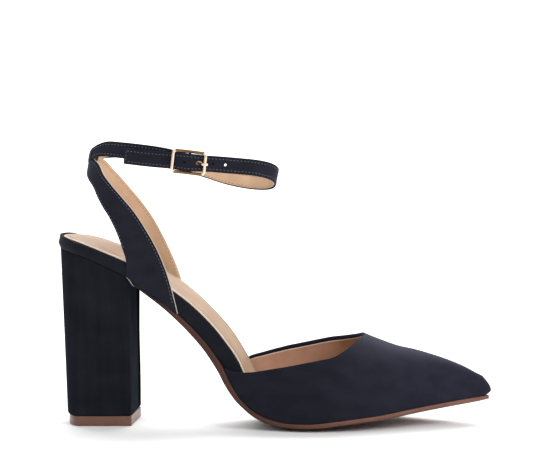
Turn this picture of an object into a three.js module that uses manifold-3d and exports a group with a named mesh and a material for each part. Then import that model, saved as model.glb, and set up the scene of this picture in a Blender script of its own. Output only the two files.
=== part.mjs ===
// A right shoe: a pointed pump on a tall block heel, with sling legs and a buckled ankle strap.
// Millimetres. +X points to the toe, +Y to the inner side of the foot, +Z up.
// The origin lies on the floor under the middle of the shoe.
import * as THREE from 'three';
import { mergeVertices } from 'three/addons/utils/BufferGeometryUtils.js';
import Module from 'manifold-3d';

const wasm = await Module();
wasm.setup();

// Driving dimensions: the shoe as a whole
const length = 234;
const ballWidth = 78;
const heelRise = 90.8; // from the forefoot's sole line up to the back's
const toeSpring = 10.6; // from the forefoot's sole line up to the toe's
const instepHeight = 41; // height of the vamp's arch at the throat
const gap = 0.3; // between pieces that meet

// Driving dimensions: sole, board and insole
const outsoleEdge = 2.3;
const treadDepth = 2.1; // how far the tread stands below the outsole's edge
const treadFlat = 0.2; // shaved off the tread under the ball, where the shoe stands
const seatThickness = 9.1; // board and insole together at the waist
const insoleThickness = 0.9;
const insoleRoll = 0.5; // how far the insole's top drops at its edge
const boardBevel = 0.2;
const boardInset = 0.5; // from the outsole's edge to the board's side
const vampSeatStart = 7; // behind the vamp's back, where the board starts to draw in beside it
const vampSeatEnd = 2;
const insoleInset = 0.8; // from the board's side to the insole's edge
const heelRound = 28; // length of the footprint's round back
const toeRound = 5; // length of the footprint's round tip

// Driving dimensions: heel
const heelBreastX = -76.4;
const heelBaseLength = 37;
const heelBaseWidth = 42;
const heelBaseRound = 0.22; // length of the base's rounded back, as a share of its own
const heelBaseTaper = 0.93; // width of the base at the breast, as a share of its own
const heelTaperStart = 0.5; // where the base starts to narrow, as a share of its length
const heelBackset = 4; // from the shoe's back to the heel's back at the floor
const heelTopInset = 0.8;
const topPieceThickness = 5.5;
const topPieceInset = 0.9;
const topPieceBevel = 0.6;

// Driving dimensions: vamp
const vampWall = 1.8;
const vampInset = 0.6; // from the outsole's edge to the vamp's lower edge
const vampBackX = -23.8;
const throatX = 49;
const sideBulge = 1.2;
const archPower = 2.2; // how square the vamp's sections are
const noseHeight = 5.2;
const noseRound = 3;
const noseOverhang = 1.2; // how far the vamp's nose reaches past the outsole's tip

// Driving dimensions: straps
const strapThickness = 1.8;
const strapWidth = 8.6;
const ankleLoopLength = 100.5;
const ankleLoopWidth = 45;
const ankleFrontX = 1.6;
const strapHeight = 147; // middle of the ankle strap at its back
const slingProud = 0.6; // how far a leg stands out past the outsole's edge
const slingBulge = 3;
const slingSink = 1; // how far the sling lies inside the ankle strap, which is joined to it
const slingLean = 0.19; // how much the back of the sling leans out, per millimetre down
const slingLeanDepth = 13;
const slingRound = 0.6; // how far the sling rounds out between the ankle strap and its lower edge
const slingSeat = 11; // length of a leg's foot that stays upright beside the seat
const slingFootEnd = 0.2; // a leg turns from the sole's edge to the ankle loop between these shares of its height
const slingLoopStart = 0.85;
const slingBulgeStart = 0.14;
const strapLean = 0.2; // how far the ankle strap's ends lean forward, per millimetre up
const freeEndTurn = 55.5; // where the free end stops, in degrees from the back
const holeSize = 1.5;
const holeSpacing = 7.4;

// Driving dimensions: buckle
const buckleTurn = 97.1; // place of the centre bar, in degrees from the back
const buckleLength = 18.9;
const buckleWidth = 13;
const buckleBar = 1.5;
const buckleTilt = 7; // degrees
const buckleCorner = 1.6;
const centreBar = 1.4;
const foldThickness = 1;
const foldLength = 3.6;
const prongThickness = 0.9;
const prongWidth = 1.5;
const slotGap = 0.35; // beside the prong's eye
const barSpare = 0.1; // between the centre bar and the strap, over the gap
const weaveSpare = 0.15; // between the fold and the strap over it, over the gap
const weaveReach = 2.8; // how far the weave runs to the front, in half lengths of the buckle
const prongHole = 5.25; // from the centre bar
const prongReach = 1.8; // how far the prong's tip passes the middle of the side bar
const prongTipDrop = 0.15;

const heelBackX = -length / 2;
const toeTipX = length / 2 - noseOverhang;
const degree = Math.PI / 180;

// A table is a list of rows under its column names
const table = (names, rows) => rows.map((row) => Object.fromEntries(names.map((name, i) => [name, row[i]])));

// The footprint: the outer and inner edge of the outsole, in shares of the ball's width
const footprint = table(['share', 'outer', 'inner'], [
  [0.0, 0.301, 0.301],
  [0.17, 0.31, 0.295],
  [0.25, 0.315, 0.23],
  [0.33, 0.32, 0.175],
  [0.4, 0.35, 0.175],
  [0.47, 0.413, 0.24],
  [0.54, 0.472, 0.35],
  [0.61, 0.5, 0.45],
  [0.67, 0.482, 0.495],
  [0.73, 0.418, 0.468],
  [0.79, 0.32, 0.388],
  [0.85, 0.206, 0.299],
  [0.91, 0.096, 0.218],
  [0.96, 0.006, 0.16],
  [1.0, -0.045, 0.115],
]);

// The sole line, seen from the side: its rise to the heel and its spring to the toe
const soleLine = table(['share', 'rise', 'spring'], [
  [0.0, 1.0, 0],
  [0.056, 0.973, 0],
  [0.115, 0.915, 0],
  [0.171, 0.843, 0],
  [0.244, 0.718, 0],
  [0.299, 0.606, 0],
  [0.355, 0.458, 0],
  [0.393, 0.316, 0],
  [0.41, 0.227, 0],
  [0.43, 0.146, 0],
  [0.449, 0.096, 0],
  [0.47, 0.057, 0],
  [0.5, 0.024, 0],
  [0.534, 0.005, 0],
  [0.56, 0, 0],
  [0.594, 0, 0],
  [0.62, 0, 0.04],
  [0.654, 0, 0.13],
  [0.692, 0, 0.22],
  [0.761, 0, 0.37],
  [0.829, 0, 0.58],
  [0.902, 0, 0.78],
  [0.97, 0, 0.94],
  [1.0, 0, 1.0],
]);

// Thicknesses along the shoe, in shares of the outsole's edge, the tread's depth and the seat
const thickness = table(['share', 'outsole', 'tread', 'seat'], [
  [0.0, 0.65, 0, 0.79],
  [0.1, 0.65, 0, 0.81],
  [0.17, 0.65, 0, 0.88],
  [0.25, 0.95, 0.1, 0.97],
  [0.3, 1.3, 0.2, 1.0],
  [0.36, 1.48, 0.2, 1.0],
  [0.4, 1.45, 0.2, 1.0],
  [0.44, 1.08, 0.4, 0.86],
  [0.48, 1.0, 0.8, 0.64],
  [0.54, 1.0, 1.0, 0.5],
  [0.62, 1.0, 1.0, 0.49],
  [0.7, 0.96, 0.9, 0.49],
  [0.85, 0.96, 0.5, 0.48],
  [0.96, 0.96, 0.2, 0.48],
  [1.0, 0.8, 0, 0.48],
]);

// The height of the vamp's arch, in shares of its height at the throat
const vampArch = table(['share', 'height'], [
  [0.39, 1.9],
  [0.44, 1.81],
  [0.5, 1.7],
  [0.58, 1.43],
  [0.62, 1.31],
  [0.654, 1.19],
  [0.684, 1.085],
  [0.709, 1.0],
  [0.748, 0.89],
  [0.786, 0.79],
  [0.823, 0.714],
  [0.859, 0.629],
  [0.897, 0.531],
  [0.934, 0.42],
  [0.97, 0.29],
  [1.0, 0.2],
]);

// The topline: how far round the arch it lies on each side, in degrees, going back from the throat.
// The way back is given as the root of its share, so that the throat comes out round.
const topline = table(['back', 'outer', 'inner'], [
  [0.0, 90, 90],
  [0.12, 77.5, 80],
  [0.2, 66, 70],
  [0.29, 55, 60.6],
  [0.42, 42.4, 50.7],
  [0.54, 36, 43.6],
  [0.64, 31.2, 37.6],
  [0.81, 20.6, 25.4],
  [0.92, 11.4, 14.6],
  [1.0, 0.6, 0.6],
]);

// One leg of the sling, from its foot to the back of the ankle: its lower and its upper edge, as
// degrees round the ankle from the back and as shares of the strap's height. The upper edge turns
// further round on the outer leg than on the inner one.
const slingEdges = table(['lowTurn', 'low', 'outerTurn', 'innerTurn', 'high'], [
  [56.2, 0.55, 88.8, 88.4, 0.425],
  [56.2, 0.614, 85.2, 85, 0.515],
  [52.8, 0.674, 81.8, 80.8, 0.585],
  [49, 0.724, 76.4, 74, 0.665],
  [43.3, 0.775, 69.2, 66.3, 0.74],
  [37.4, 0.809, 62.2, 58.9, 0.797],
  [30.8, 0.845, 54, 51.7, 0.844],
  [24.4, 0.879, 45.2, 44.9, 0.886],
  [15.2, 0.902, 36.3, 37.2, 0.925],
  [7.2, 0.917, 26, 25.5, 0.968],
  [0, 0.929, 0, 0, 0.99],
]);

// The ankle strap's height and width on its way round, in degrees from the back, backwards from the
// buckle along the outer side, round the back, the inner side and the front, and to the free end
const strapRun = table(['turn', 'height', 'width'], [
  [110, 0.975, 1],
  [96.5, 0.98, 1],
  [82, 1.0, 1],
  [65, 1.013, 1],
  [45, 1.02, 0.98],
  [37, 1.02, 0.92],
  [28, 1.013, 0.82],
  [15, 0.996, 0.78],
  [0, 0.982, 0.76],
  [-12, 0.984, 0.78],
  [-27, 0.994, 0.84],
  [-45, 0.995, 0.9],
  [-60, 0.979, 0.96],
  [-77, 0.959, 1],
  [-95, 0.93, 1],
  [-116, 0.895, 1],
  [-137, 0.882, 1],
  [-158, 0.888, 1],
  [-180, 0.913, 1],
  [-197, 0.934, 1],
  [-215, 0.951, 1],
  [-240, 0.966, 1],
  [-263.5, 0.98, 1],
  [-285, 0.99, 1],
  [-307, 1.001, 1],
]);

// A smooth curve through one column of a table
function column(rows, key, name) {
  const slope = (i) => {
    const a = rows[Math.max(i - 1, 0)];
    const b = rows[Math.min(i + 1, rows.length - 1)];
    return (b[name] - a[name]) / (b[key] - a[key]);
  };
  return (at) => {
    let i = 0;
    while (i < rows.length - 2 && at > rows[i + 1][key]) i += 1;
    const span = rows[i + 1][key] - rows[i][key];
    const u = THREE.MathUtils.clamp((at - rows[i][key]) / span, 0, 1);
    const start = rows[i][name];
    const end = rows[i + 1][name];
    const bend = (2 * u ** 3 - 3 * u * u + 1) * start + (3 * u * u - 2 * u ** 3) * end;
    return bend + span * ((u ** 3 - 2 * u * u + u) * slope(i) + (u ** 3 - u * u) * slope(i + 1));
  };
}

const shareAt = (x) => (x - heelBackX) / length;
const mix = THREE.MathUtils.lerp;
const smooth = THREE.MathUtils.smoothstep;
const quarter = (u) => (u >= 1 ? 1 : Math.sqrt(Math.max(0, u * (2 - u))));

const outerShare = column(footprint, 'share', 'outer');
const innerShare = column(footprint, 'share', 'inner');
const riseShare = column(soleLine, 'share', 'rise');
const springShare = column(soleLine, 'share', 'spring');
const outsoleShare = column(thickness, 'share', 'outsole');
const treadShare = column(thickness, 'share', 'tread');
const seatShare = column(thickness, 'share', 'seat');
const archShare = column(vampArch, 'share', 'height');
const topOuter = column(topline, 'back', 'outer');
const topInner = column(topline, 'back', 'inner');

// The footprint's middle line and half width at one place along the shoe
const middleY = (x) => ((innerShare(shareAt(x)) - outerShare(shareAt(x))) / 2) * ballWidth;
const halfWidth = (x) => ((innerShare(shareAt(x)) + outerShare(shareAt(x))) / 2) * ballWidth;

// The edge of the footprint on one side (-1 outer, 1 inner), drawn in by an inset all round
const toeInset = 2; // an inset draws the narrow tip back this many times further
function edgeY(x, side, inset) {
  const slant = Math.hypot(1, halfWidth(x + 1) - halfWidth(x));
  const fromHeel = quarter((x - heelBackX - inset) / heelRound);
  const fromToe = quarter((toeTipX - toeInset * inset - x) / toeRound);
  return middleY(x) + side * (halfWidth(x) - inset * slant) * fromHeel * fromToe;
}

// The sole line's height, and a point above or below it: square to it, but upright over the heel's back
const soleZ = (x) => {
  const share = shareAt(x);
  return outsoleEdge + treadDepth + riseShare(share) * heelRise + springShare(share) * toeSpring;
};
const soleSlope = (x) => soleZ(x + 0.5) - soleZ(x - 0.5);
function onSole(x, y, height) {
  const slope = soleSlope(x) * smooth(x, heelBackX, heelBreastX);
  const scale = height / Math.hypot(1, slope);
  return new THREE.Vector3(x - slope * scale, y, soleZ(x) + scale);
}

// Places along the shoe, closer together over its round ends. The first keeps a small width.
const firstStep = 0.12;
function placesAlong(from, to, fromRound, toRound, roundSteps, straightSteps) {
  const places = [];
  for (let i = 0; i < roundSteps && fromRound > 0; i += 1) {
    places.push(from + fromRound * (1 - Math.cos(((i + firstStep) / roundSteps) * (Math.PI / 2))));
  }
  for (let i = 0; i <= straightSteps; i += 1) {
    places.push(mix(from + fromRound, to - toRound, i / straightSteps));
  }
  for (let i = roundSteps - 1; i >= 0 && toRound > 0; i -= 1) {
    places.push(to - toRound * (1 - Math.cos(((i + firstStep) / roundSteps) * (Math.PI / 2))));
  }
  return places;
}

// A closed body through rings that each have as many points, with a ladder of faces at each end.
// With wrap, the last ring joins the first instead.
function loft(rings, wrap = false) {
  const count = rings[0].length;
  const points = rings.flat();
  const faces = [];
  const quad = (a, b, c, d) => faces.push(a, b, c, a, c, d);
  for (let r = 0; r < (wrap ? rings.length : rings.length - 1); r += 1) {
    const next = (r + 1) % rings.length;
    for (let i = 0; i < count; i += 1) {
      const j = (i + 1) % count;
      quad(r * count + i, r * count + j, next * count + j, next * count + i);
    }
  }
  const last = (rings.length - 1) * count;
  for (let i = 0; i < count / 2 - 1 && !wrap; i += 1) {
    quad(i, count - 1 - i, count - 2 - i, i + 1);
    quad(last + i, last + i + 1, last + count - 2 - i, last + count - 1 - i);
  }
  return closedBody(points, faces);
}

// A geometry from points and faces, with its faces turned outwards
function closedBody(points, faces) {
  const geometry = new THREE.BufferGeometry();
  geometry.setAttribute('position', new THREE.Float32BufferAttribute(points.flatMap((p) => p.toArray()), 3));
  geometry.setIndex(faces);
  const merged = mergeVertices(geometry, 1e-3);
  const index = [];
  const old = merged.index.array;
  for (let i = 0; i < old.length; i += 3) {
    const [a, b, c] = [old[i], old[i + 1], old[i + 2]];
    if (a !== b && b !== c && a !== c) index.push(a, b, c);
  }
  if (volume(merged, index) < 0) index.reverse();
  merged.setIndex(index);
  return merged;
}

function volume(geometry, index) {
  const place = geometry.attributes.position;
  const [a, b, c] = [new THREE.Vector3(), new THREE.Vector3(), new THREE.Vector3()];
  let sum = 0;
  for (let i = 0; i < index.length; i += 3) {
    a.fromBufferAttribute(place, index[i]);
    b.fromBufferAttribute(place, index[i + 1]);
    c.fromBufferAttribute(place, index[i + 2]);
    sum += a.dot(b.cross(c));
  }
  return sum;
}

// Solids for joining and cutting, and back again
function solid(geometry) {
  const bare = geometry.clone();
  bare.deleteAttribute('normal');
  bare.deleteAttribute('uv');
  const merged = mergeVertices(bare, 1e-4);
  const vertProperties = new Float32Array(merged.attributes.position.array);
  const triVerts = new Uint32Array(merged.index.array);
  return new wasm.Manifold(new wasm.Mesh({ numProp: 3, vertProperties, triVerts }));
}

function geometryOf(manifold) {
  const mesh = manifold.getMesh();
  const geometry = new THREE.BufferGeometry();
  geometry.setAttribute('position', new THREE.Float32BufferAttribute(mesh.vertProperties, 3));
  geometry.setIndex(Array.from(mesh.triVerts));
  return geometry;
}

// A layer on the sole line: across, its lower and upper heights are given at shares of the half width
function soleLayer(places, across, inset, low, high, floor = -Infinity) {
  const rings = places.map((x) => {
    const centre = (edgeY(x, 1, inset(x)) + edgeY(x, -1, inset(x))) / 2;
    const half = (edgeY(x, 1, inset(x)) - edgeY(x, -1, inset(x))) / 2;
    const point = (share, height) => {
      const p = onSole(x, centre + share * half, height(x, Math.abs(share)));
      p.z = Math.max(p.z, floor);
      return p;
    };
    const below = across.map((share) => point(share, low));
    const above = [...across].reverse().map((share) => point(share, high));
    return [...below, ...above];
  });
  return loft(rings);
}

// Outsole: from the heel's breast to the toe, with a flat tread
function outsole() {
  const crown = 0.6; // half width of the tread's flat middle, as a share of the outsole's
  const across = [-1, -0.87, -0.73, -crown, crown, 0.73, 0.87, 1];
  const round = (share) => Math.sin(Math.min(1, (1 - share) / (1 - crown)) * (Math.PI / 2));
  const tread = (x, share) => (treadDepth + treadFlat) * treadShare(shareAt(x)) * round(share);
  const low = (x, share) => -outsoleEdge * outsoleShare(shareAt(x)) - tread(x, share);
  const high = () => 0;
  const back = heelBreastX + outsoleEdge + gap;
  const places = placesAlong(back, toeTipX, 0, toeRound, 5, 44);
  return soleLayer(places, across, () => 0, low, high, 0);
}

// The room that the vamp's wall takes from the board and the insole
const vampRoom = (x) => smooth(x, vampBackX - vampSeatStart, vampBackX - vampSeatEnd)
  * (vampInset + vampWall + gap - boardInset);
const boardEdge = (x) => boardInset + vampRoom(x);
const seatTop = (x) => gap + seatThickness * seatShare(shareAt(x));

// Insole board: thick under the heel and waist, thin inside the vamp
function insoleBoard() {
  const across = [-1, -0.95, 0, 0.95, 1];
  const low = () => gap;
  const high = (x, share) => seatTop(x) - insoleThickness - gap - (share === 1 ? boardBevel : 0);
  const toe = toeTipX - toeInset * boardEdge(toeTipX);
  const back = heelBackX + boardInset;
  const places = placesAlong(back, toe, heelRound, toeRound, 9, 34);
  const board = solid(soleLayer(places, across, boardEdge, low, high));
  return geometryOf(board.subtract(solid(sling(gap))));
}

// Insole: a padded sock with a rolled edge
function insole() {
  const crown = 0.88; // half width of the insole's flat middle, as a share of its own
  const across = [-1, -0.97, -crown, 0, crown, 0.97, 1];
  const insoleEdge = (x) => boardEdge(x) + insoleInset;
  const roll = (share) => insoleRoll * quarterDrop((share - crown) / (1 - crown));
  const low = (x) => seatTop(x) - insoleThickness;
  const high = (x, share) => seatTop(x) - roll(share);
  const toe = toeTipX - toeInset * insoleEdge(toeTipX);
  const back = heelBackX + insoleEdge(heelBackX);
  const places = placesAlong(back, toe, heelRound, toeRound, 9, 34);
  return soleLayer(places, across, insoleEdge, low, high);
}

const quarterDrop = (u) => (u <= 0 ? 0 : 1 - Math.sqrt(Math.max(0, 1 - u * u)));

// Heel and top piece: an outline at the floor, rounded behind, that narrows towards the breast
function heelBaseEdge(share, side, inset) {
  const back = heelBackX + heelBackset + inset;
  const front = heelBackX + heelBackset + heelBaseLength;
  const round = quarter(share / heelBaseRound);
  const narrow = mix(1, heelBaseTaper, smooth(share, heelTaperStart, 1));
  return { x: mix(back, front, share), y: side * (heelBaseWidth / 2 - inset) * round * narrow };
}

const heelShares = [0.002, 0.015, 0.04, 0.08, 0.13, 0.2, 0.3, 0.45, 0.62, 0.8, 1];
const bothSides = (point) => [
  ...heelShares.map((share) => point(share, -1)),
  ...[...heelShares].reverse().map((share) => point(share, 1)),
];

function heel() {
  const bottom = topPieceThickness + gap;
  const back = heelBackX + heelTopInset;
  const top = (share, side) => {
    const x = mix(back, heelBreastX, share);
    return new THREE.Vector3(x, edgeY(x, side, heelTopInset), soleZ(x));
  };
  const base = (share, side) => {
    const { x, y } = heelBaseEdge(share, side, 0);
    return new THREE.Vector3(x, y, bottom);
  };
  const levels = [0, 0.25, 0.5, 0.75, 1];
  return loft(levels.map((level) => bothSides((share, side) => base(share, side).lerp(top(share, side), level))));
}

function topPiece() {
  const ring = (inset, z) => bothSides((share, side) => {
    const { x, y } = heelBaseEdge(share, side, topPieceInset + inset);
    return new THREE.Vector3(x, y, z);
  });
  return loft([ring(topPieceBevel, 0), ring(0, topPieceBevel), ring(0, topPieceThickness)]);
}

const vampTipX = toeTipX - toeInset * vampInset;

// The vamp's arch over the sole line: a point on one side, so many degrees up from the sole
function archPoint(x, side, turn, inset, rise) {
  const half = Math.abs(edgeY(x, side, vampInset + inset) - middleY(x));
  const height = mix(noseHeight, instepHeight * archShare(shareAt(x)), quarter((vampTipX - x) / noseRound));
  const out = Math.cos(turn * degree) ** (2 / archPower);
  const up = Math.sin(turn * degree) ** (2 / archPower);
  const bulge = sideBulge * Math.sin(Math.PI * up) * Math.min(1, (2 * half) / ballWidth);
  const base = soleZ(x) + gap * Math.hypot(1, soleSlope(x));
  const reach = (toeTipX + noseOverhang - vampTipX) * smooth(x, vampTipX - 3 * noseRound, vampTipX);
  return new THREE.Vector3(
    x + reach * Math.sin(Math.PI * up),
    middleY(x) + side * (half * out + bulge),
    base + (height - rise) * up,
  );
}

// Vamp: one hollow shell, open at the throat and underneath, and filled at the tip of the toe
function vamp() {
  const backSteps = 22;
  const frontSteps = 20;
  const upSteps = 10;
  const reach = throatX - vampBackX;
  const places = [];
  for (let i = backSteps; i > 0; i -= 1) places.push(throatX - reach * (i / backSteps) ** 2);
  for (let i = 0; i <= frontSteps; i += 1) {
    places.push(mix(throatX, vampTipX, Math.sin((i / frontSteps) * (Math.PI / 2))));
  }
  const hollowTipX = vampTipX - toeInset * vampWall;
  const insidePlace = (x) => mix(x, x - vampTipX + hollowTipX, smooth(x, throatX, vampTipX));
  const topTurn = (x, side) => {
    const back = Math.sqrt(Math.max(0, throatX - x) / reach);
    return side < 0 ? topOuter(back) : topInner(back);
  };
  const points = [];
  const index = (i, j, side, inside) => ((i * (upSteps + 1) + j) * 2 + (side < 0 ? 0 : 1)) * 2 + inside;
  places.forEach((x) => {
    for (let j = 0; j <= upSteps; j += 1) {
      for (const side of [-1, 1]) {
        const turn = (topTurn(x, side) * j) / upSteps;
        points.push(archPoint(x, side, turn, 0, 0));
        const within = insidePlace(x);
        const slope = instepHeight * (archShare(shareAt(within)) - archShare(shareAt(within + 1)));
        const inner = archPoint(within, side, turn, vampWall, vampWall * Math.hypot(1, slope));
        points.push(inner);
      }
    }
  });
  const faces = [];
  const quad = (a, b, c, d) => faces.push(a, b, c, a, c, d);
  for (const side of [-1, 1]) {
    const facing = (a, b, c, d) => (side < 0 ? quad(a, b, c, d) : quad(d, c, b, a));
    for (let i = 0; i < places.length - 1; i += 1) {
      for (let j = 0; j < upSteps; j += 1) {
        const at = (di, dj, inside) => index(i + di, j + dj, side, inside);
        facing(at(0, 0, 0), at(1, 0, 0), at(1, 1, 0), at(0, 1, 0));
        facing(at(0, 1, 1), at(1, 1, 1), at(1, 0, 1), at(0, 0, 1));
      }
      facing(index(i, 0, side, 1), index(i + 1, 0, side, 1), index(i + 1, 0, side, 0), index(i, 0, side, 0));
      if (i < backSteps) {
        const j = upSteps;
        facing(index(i, j, side, 0), index(i + 1, j, side, 0), index(i + 1, j, side, 1), index(i, j, side, 1));
      }
    }
    for (let j = 0; j < upSteps; j += 1) {
      facing(index(0, j, side, 1), index(0, j, side, 0), index(0, j + 1, side, 0), index(0, j + 1, side, 1));
    }
  }
  return closedBody(points, faces);
}

// The ankle loop: an ellipse seen from above, turning from the back (0) over the outer side (90)
const ankleMiddleX = ankleFrontX - ankleLoopLength / 2;
function ankleAt(turn, out) {
  const [sin, cos] = [Math.sin(turn * degree), Math.cos(turn * degree)];
  const [a, b] = [ankleLoopLength / 2, ankleLoopWidth / 2];
  const normal = new THREE.Vector2(-cos / a, -sin / b).normalize();
  return new THREE.Vector2(ankleMiddleX - a * cos + normal.x * out, -b * sin + normal.y * out);
}

// A strap from a sheet of points: rows along it, each from its lower to its upper edge
function strap(sheet, thicknessAt) {
  const rows = sheet.length;
  const across = sheet[0].length;
  const at = (i, j) => sheet[THREE.MathUtils.clamp(i, 0, rows - 1)][THREE.MathUtils.clamp(j, 0, across - 1)];
  const rings = sheet.map((row, i) => {
    const offset = (j, side) => {
      const along = at(i + 1, j).clone().sub(at(i - 1, j));
      const upwards = at(i, j + 1).clone().sub(at(i, j - 1));
      const normal = along.cross(upwards).normalize();
      return row[j].clone().addScaledVector(normal, (side * thicknessAt(i)) / 2);
    };
    const steps = row.map((point, j) => j);
    return [...steps.map((j) => offset(j, 1)), ...steps.reverse().map((j) => offset(j, -1))];
  });
  return loft(rings);
}

// The sling: two legs from the sole's edge that meet behind the ankle. With some spare it is that
// much larger all round, to cut its own recess.
function sling(spare = 0) {
  const rungSteps = 18;
  const acrossSteps = 4;
  const rungs = slingEdges.map((row, i) => ({ ...row, at: i }));
  const curve = (name) => column(rungs, 'at', name);
  const lean = (z) => {
    const down = THREE.MathUtils.clamp(strapHeight - z, 0, slingLeanDepth);
    return slingLean * down + slingRound * Math.sin((Math.PI * down) / slingLeanDepth) - slingSink;
  };
  const footZ = (x) => soleZ(x) + (gap - 2 * spare) * Math.hypot(1, soleSlope(x));
  const point = (turn, height, side, isFoot) => {
    const loop = ankleAt(turn, lean(height));
    const z = isFoot ? footZ(loop.x) : height;
    const slope = soleSlope(loop.x);
    const besideSeat = Math.min(z - soleZ(loop.x), slingSeat);
    const station = loop.x + (besideSeat * slope) / (1 + slope * slope);
    const foot = Math.abs(edgeY(station, side, boardInset)) + boardInset + slingProud - strapThickness / 2;
    const up = (z - soleZ(loop.x)) / (strapHeight - soleZ(loop.x));
    const out = mix(foot, Math.abs(loop.y), smooth(up, slingFootEnd, slingLoopStart));
    return new THREE.Vector3(loop.x, side * (out + slingBulge * Math.sin(Math.PI * smooth(up, slingBulgeStart, 1))), z);
  };
  const half = (side) => {
    const curves = ['lowTurn', 'low', side < 0 ? 'outerTurn' : 'innerTurn', 'high'].map(curve);
    const sheet = [];
    for (let i = 0; i <= rungSteps; i += 1) {
      const at = (i / rungSteps) * (slingEdges.length - 1);
      const [lowTurn, low, highTurn, high] = curves.map((along) => along(at));
      const across = (share) => point(
        mix(lowTurn, highTurn, share),
        mix(low, high, share) * strapHeight,
        side,
        i === 0,
      );
      const spread = spare / across(0).distanceTo(across(1));
      const row = [];
      for (let j = 0; j <= acrossSteps; j += 1) row.push(across(mix(-spread, 1 + spread, j / acrossSteps)));
      sheet.push(row);
    }
    return sheet;
  };
  const innerHalf = half(1).reverse().slice(1);
  return strap([...half(-1), ...innerHalf], () => strapThickness + 2 * spare);
}

// The buckle's own frame: along the strap to the front, out from the ankle, and up
const strapLift = column(strapRun.map((row) => ({ ...row, back: -row.turn })), 'back', 'height');
const strapZ = (turn) => strapHeight * strapLift(-turn);
const strapShare = column(strapRun.map((row) => ({ ...row, back: -row.turn })), 'back', 'width');
const buckleSpeed = ankleAt(buckleTurn + 0.5, 0).distanceTo(ankleAt(buckleTurn - 0.5, 0));
const turnAt = (along) => buckleTurn + along / buckleSpeed;
const buckleLift = strapThickness / 2 + gap + centreBar / 2 + barSpare;
const foldRadius = centreBar / 2 + gap + foldThickness / 2;
function atBuckle(along, out, up) {
  const [before, after] = [ankleAt(buckleTurn - 1, 0), ankleAt(buckleTurn + 1, 0)];
  const ahead = after.sub(before).normalize();
  const centre = ankleAt(buckleTurn, 0);
  const tilt = buckleTilt * degree;
  const run = along * Math.cos(tilt) + up * Math.sin(tilt);
  const rise = up * Math.cos(tilt) - along * Math.sin(tilt);
  return new THREE.Vector3(
    centre.x + ahead.x * run + ahead.y * out,
    centre.y + ahead.y * run - ahead.x * out,
    strapZ(buckleTurn) + rise,
  );
}

// How far the upper layer of the ankle strap stands off the loop as it weaves through the buckle.
// Along is in shares of the buckle's half length, out in shares of the layers beneath.
const overFold = buckleLift + foldRadius + foldThickness / 2 + gap + strapThickness / 2 + weaveSpare;
const overStrap = strapThickness + gap;
const weave = table(['along', 'over', 'fold'], [
  [-4, 1, 0],
  [-1.8, 1, 0.02],
  [-1.4, 1, 0.08],
  [-1, 1, 0.28],
  [-0.65, 1, 0.48],
  [-0.42, 1, 0.68],
  [-0.2, 1, 0.9],
  [0, 1, 1],
  [0.25, 1, 0.88],
  [0.55, 1, 0.5],
  [1, 1, 0.24],
  [1.4, 0.75, 0.0],
  [2, 0.25, 0.0],
  [weaveReach, 0, 0],
  [5, 0, 0],
]);
const weaveOver = column(weave, 'along', 'over');
const weaveFold = column(weave, 'along', 'fold');
const halfBuckle = (buckleLength - buckleBar) / 2;
const weaveOut = (along) => {
  const share = along / halfBuckle;
  return overStrap * weaveOver(share) + (overFold - overStrap) * weaveFold(share);
};

// The fold round the centre bar, before and after its turn. Along is in shares of its length, and out in
// shares of its radius and then of its height behind the bar. Thick is in shares of its own thickness
// and then of the way from that to the strap's.
const foldStart = table(['along', 'out', 'thick'], [
  [-1, 0.45, 0.6],
  [-0.55, 0.85, 0.9],
]);
const foldEnd = table(['along', 'out', 'thick'], [
  [-0.7, 0.36, 0.3],
  [-1.7, 0, 0.9],
]);
const foldRun = 3.2; // where the strap has its full thickness, in lengths of the fold

// Ankle strap: folded round the centre bar, once round the ankle, through the buckle and back over itself
function ankleStrap() {
  const path = [];
  const add = (turn, out, thick) => path.push({ turn, out, thick });
  foldStart.forEach(({ along, out, thick }) => {
    add(turnAt(along * foldLength), buckleLift + out * foldRadius, thick * foldThickness);
  });
  for (let i = 0; i <= 6; i += 1) {
    const angle = Math.PI / 2 - (i / 6) * Math.PI;
    add(turnAt(foldRadius * Math.cos(angle)), buckleLift + foldRadius * Math.sin(angle), foldThickness);
  }
  foldEnd.forEach(({ along, out, thick }) => {
    const behindBar = buckleLift - foldRadius;
    add(turnAt(along * foldLength), out * behindBar, mix(foldThickness, strapThickness, thick));
  });
  const lowerStart = turnAt(-foldRun * foldLength);
  const round = 44;
  const weaveStart = turnAt(weaveReach * halfBuckle) - 360;
  for (let i = 0; i <= round; i += 1) add(mix(lowerStart, weaveStart, i / round), 0, strapThickness);
  const weaveSteps = 22;
  const freeEnd = freeEndTurn - 360;
  for (let i = 1; i <= weaveSteps; i += 1) {
    const turn = mix(weaveStart, freeEnd, i / weaveSteps);
    add(turn, weaveOut((turn + 360 - buckleTurn) * buckleSpeed), strapThickness);
  }
  const sheet = path.map(({ turn, out }) => {
    const away = Math.abs(turn + (turn < 0 ? 360 : 0) - buckleTurn) * buckleSpeed;
    const skew = Math.tan(buckleTilt * degree) * (1 - smooth(away, 2 * halfBuckle, 4 * halfBuckle));
    return [-0.5, 0, 0.5].map((share) => {
      const up = share * strapWidth * strapShare(-turn);
      const place = ankleAt(turn + (up * skew) / buckleSpeed, out);
      const lean = up * strapLean * Math.cos(turn * degree) ** 2;
      return new THREE.Vector3(place.x + lean, place.y, strapZ(turn) + up);
    });
  });
  return strap(sheet, (i) => path[i].thick);
}

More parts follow.
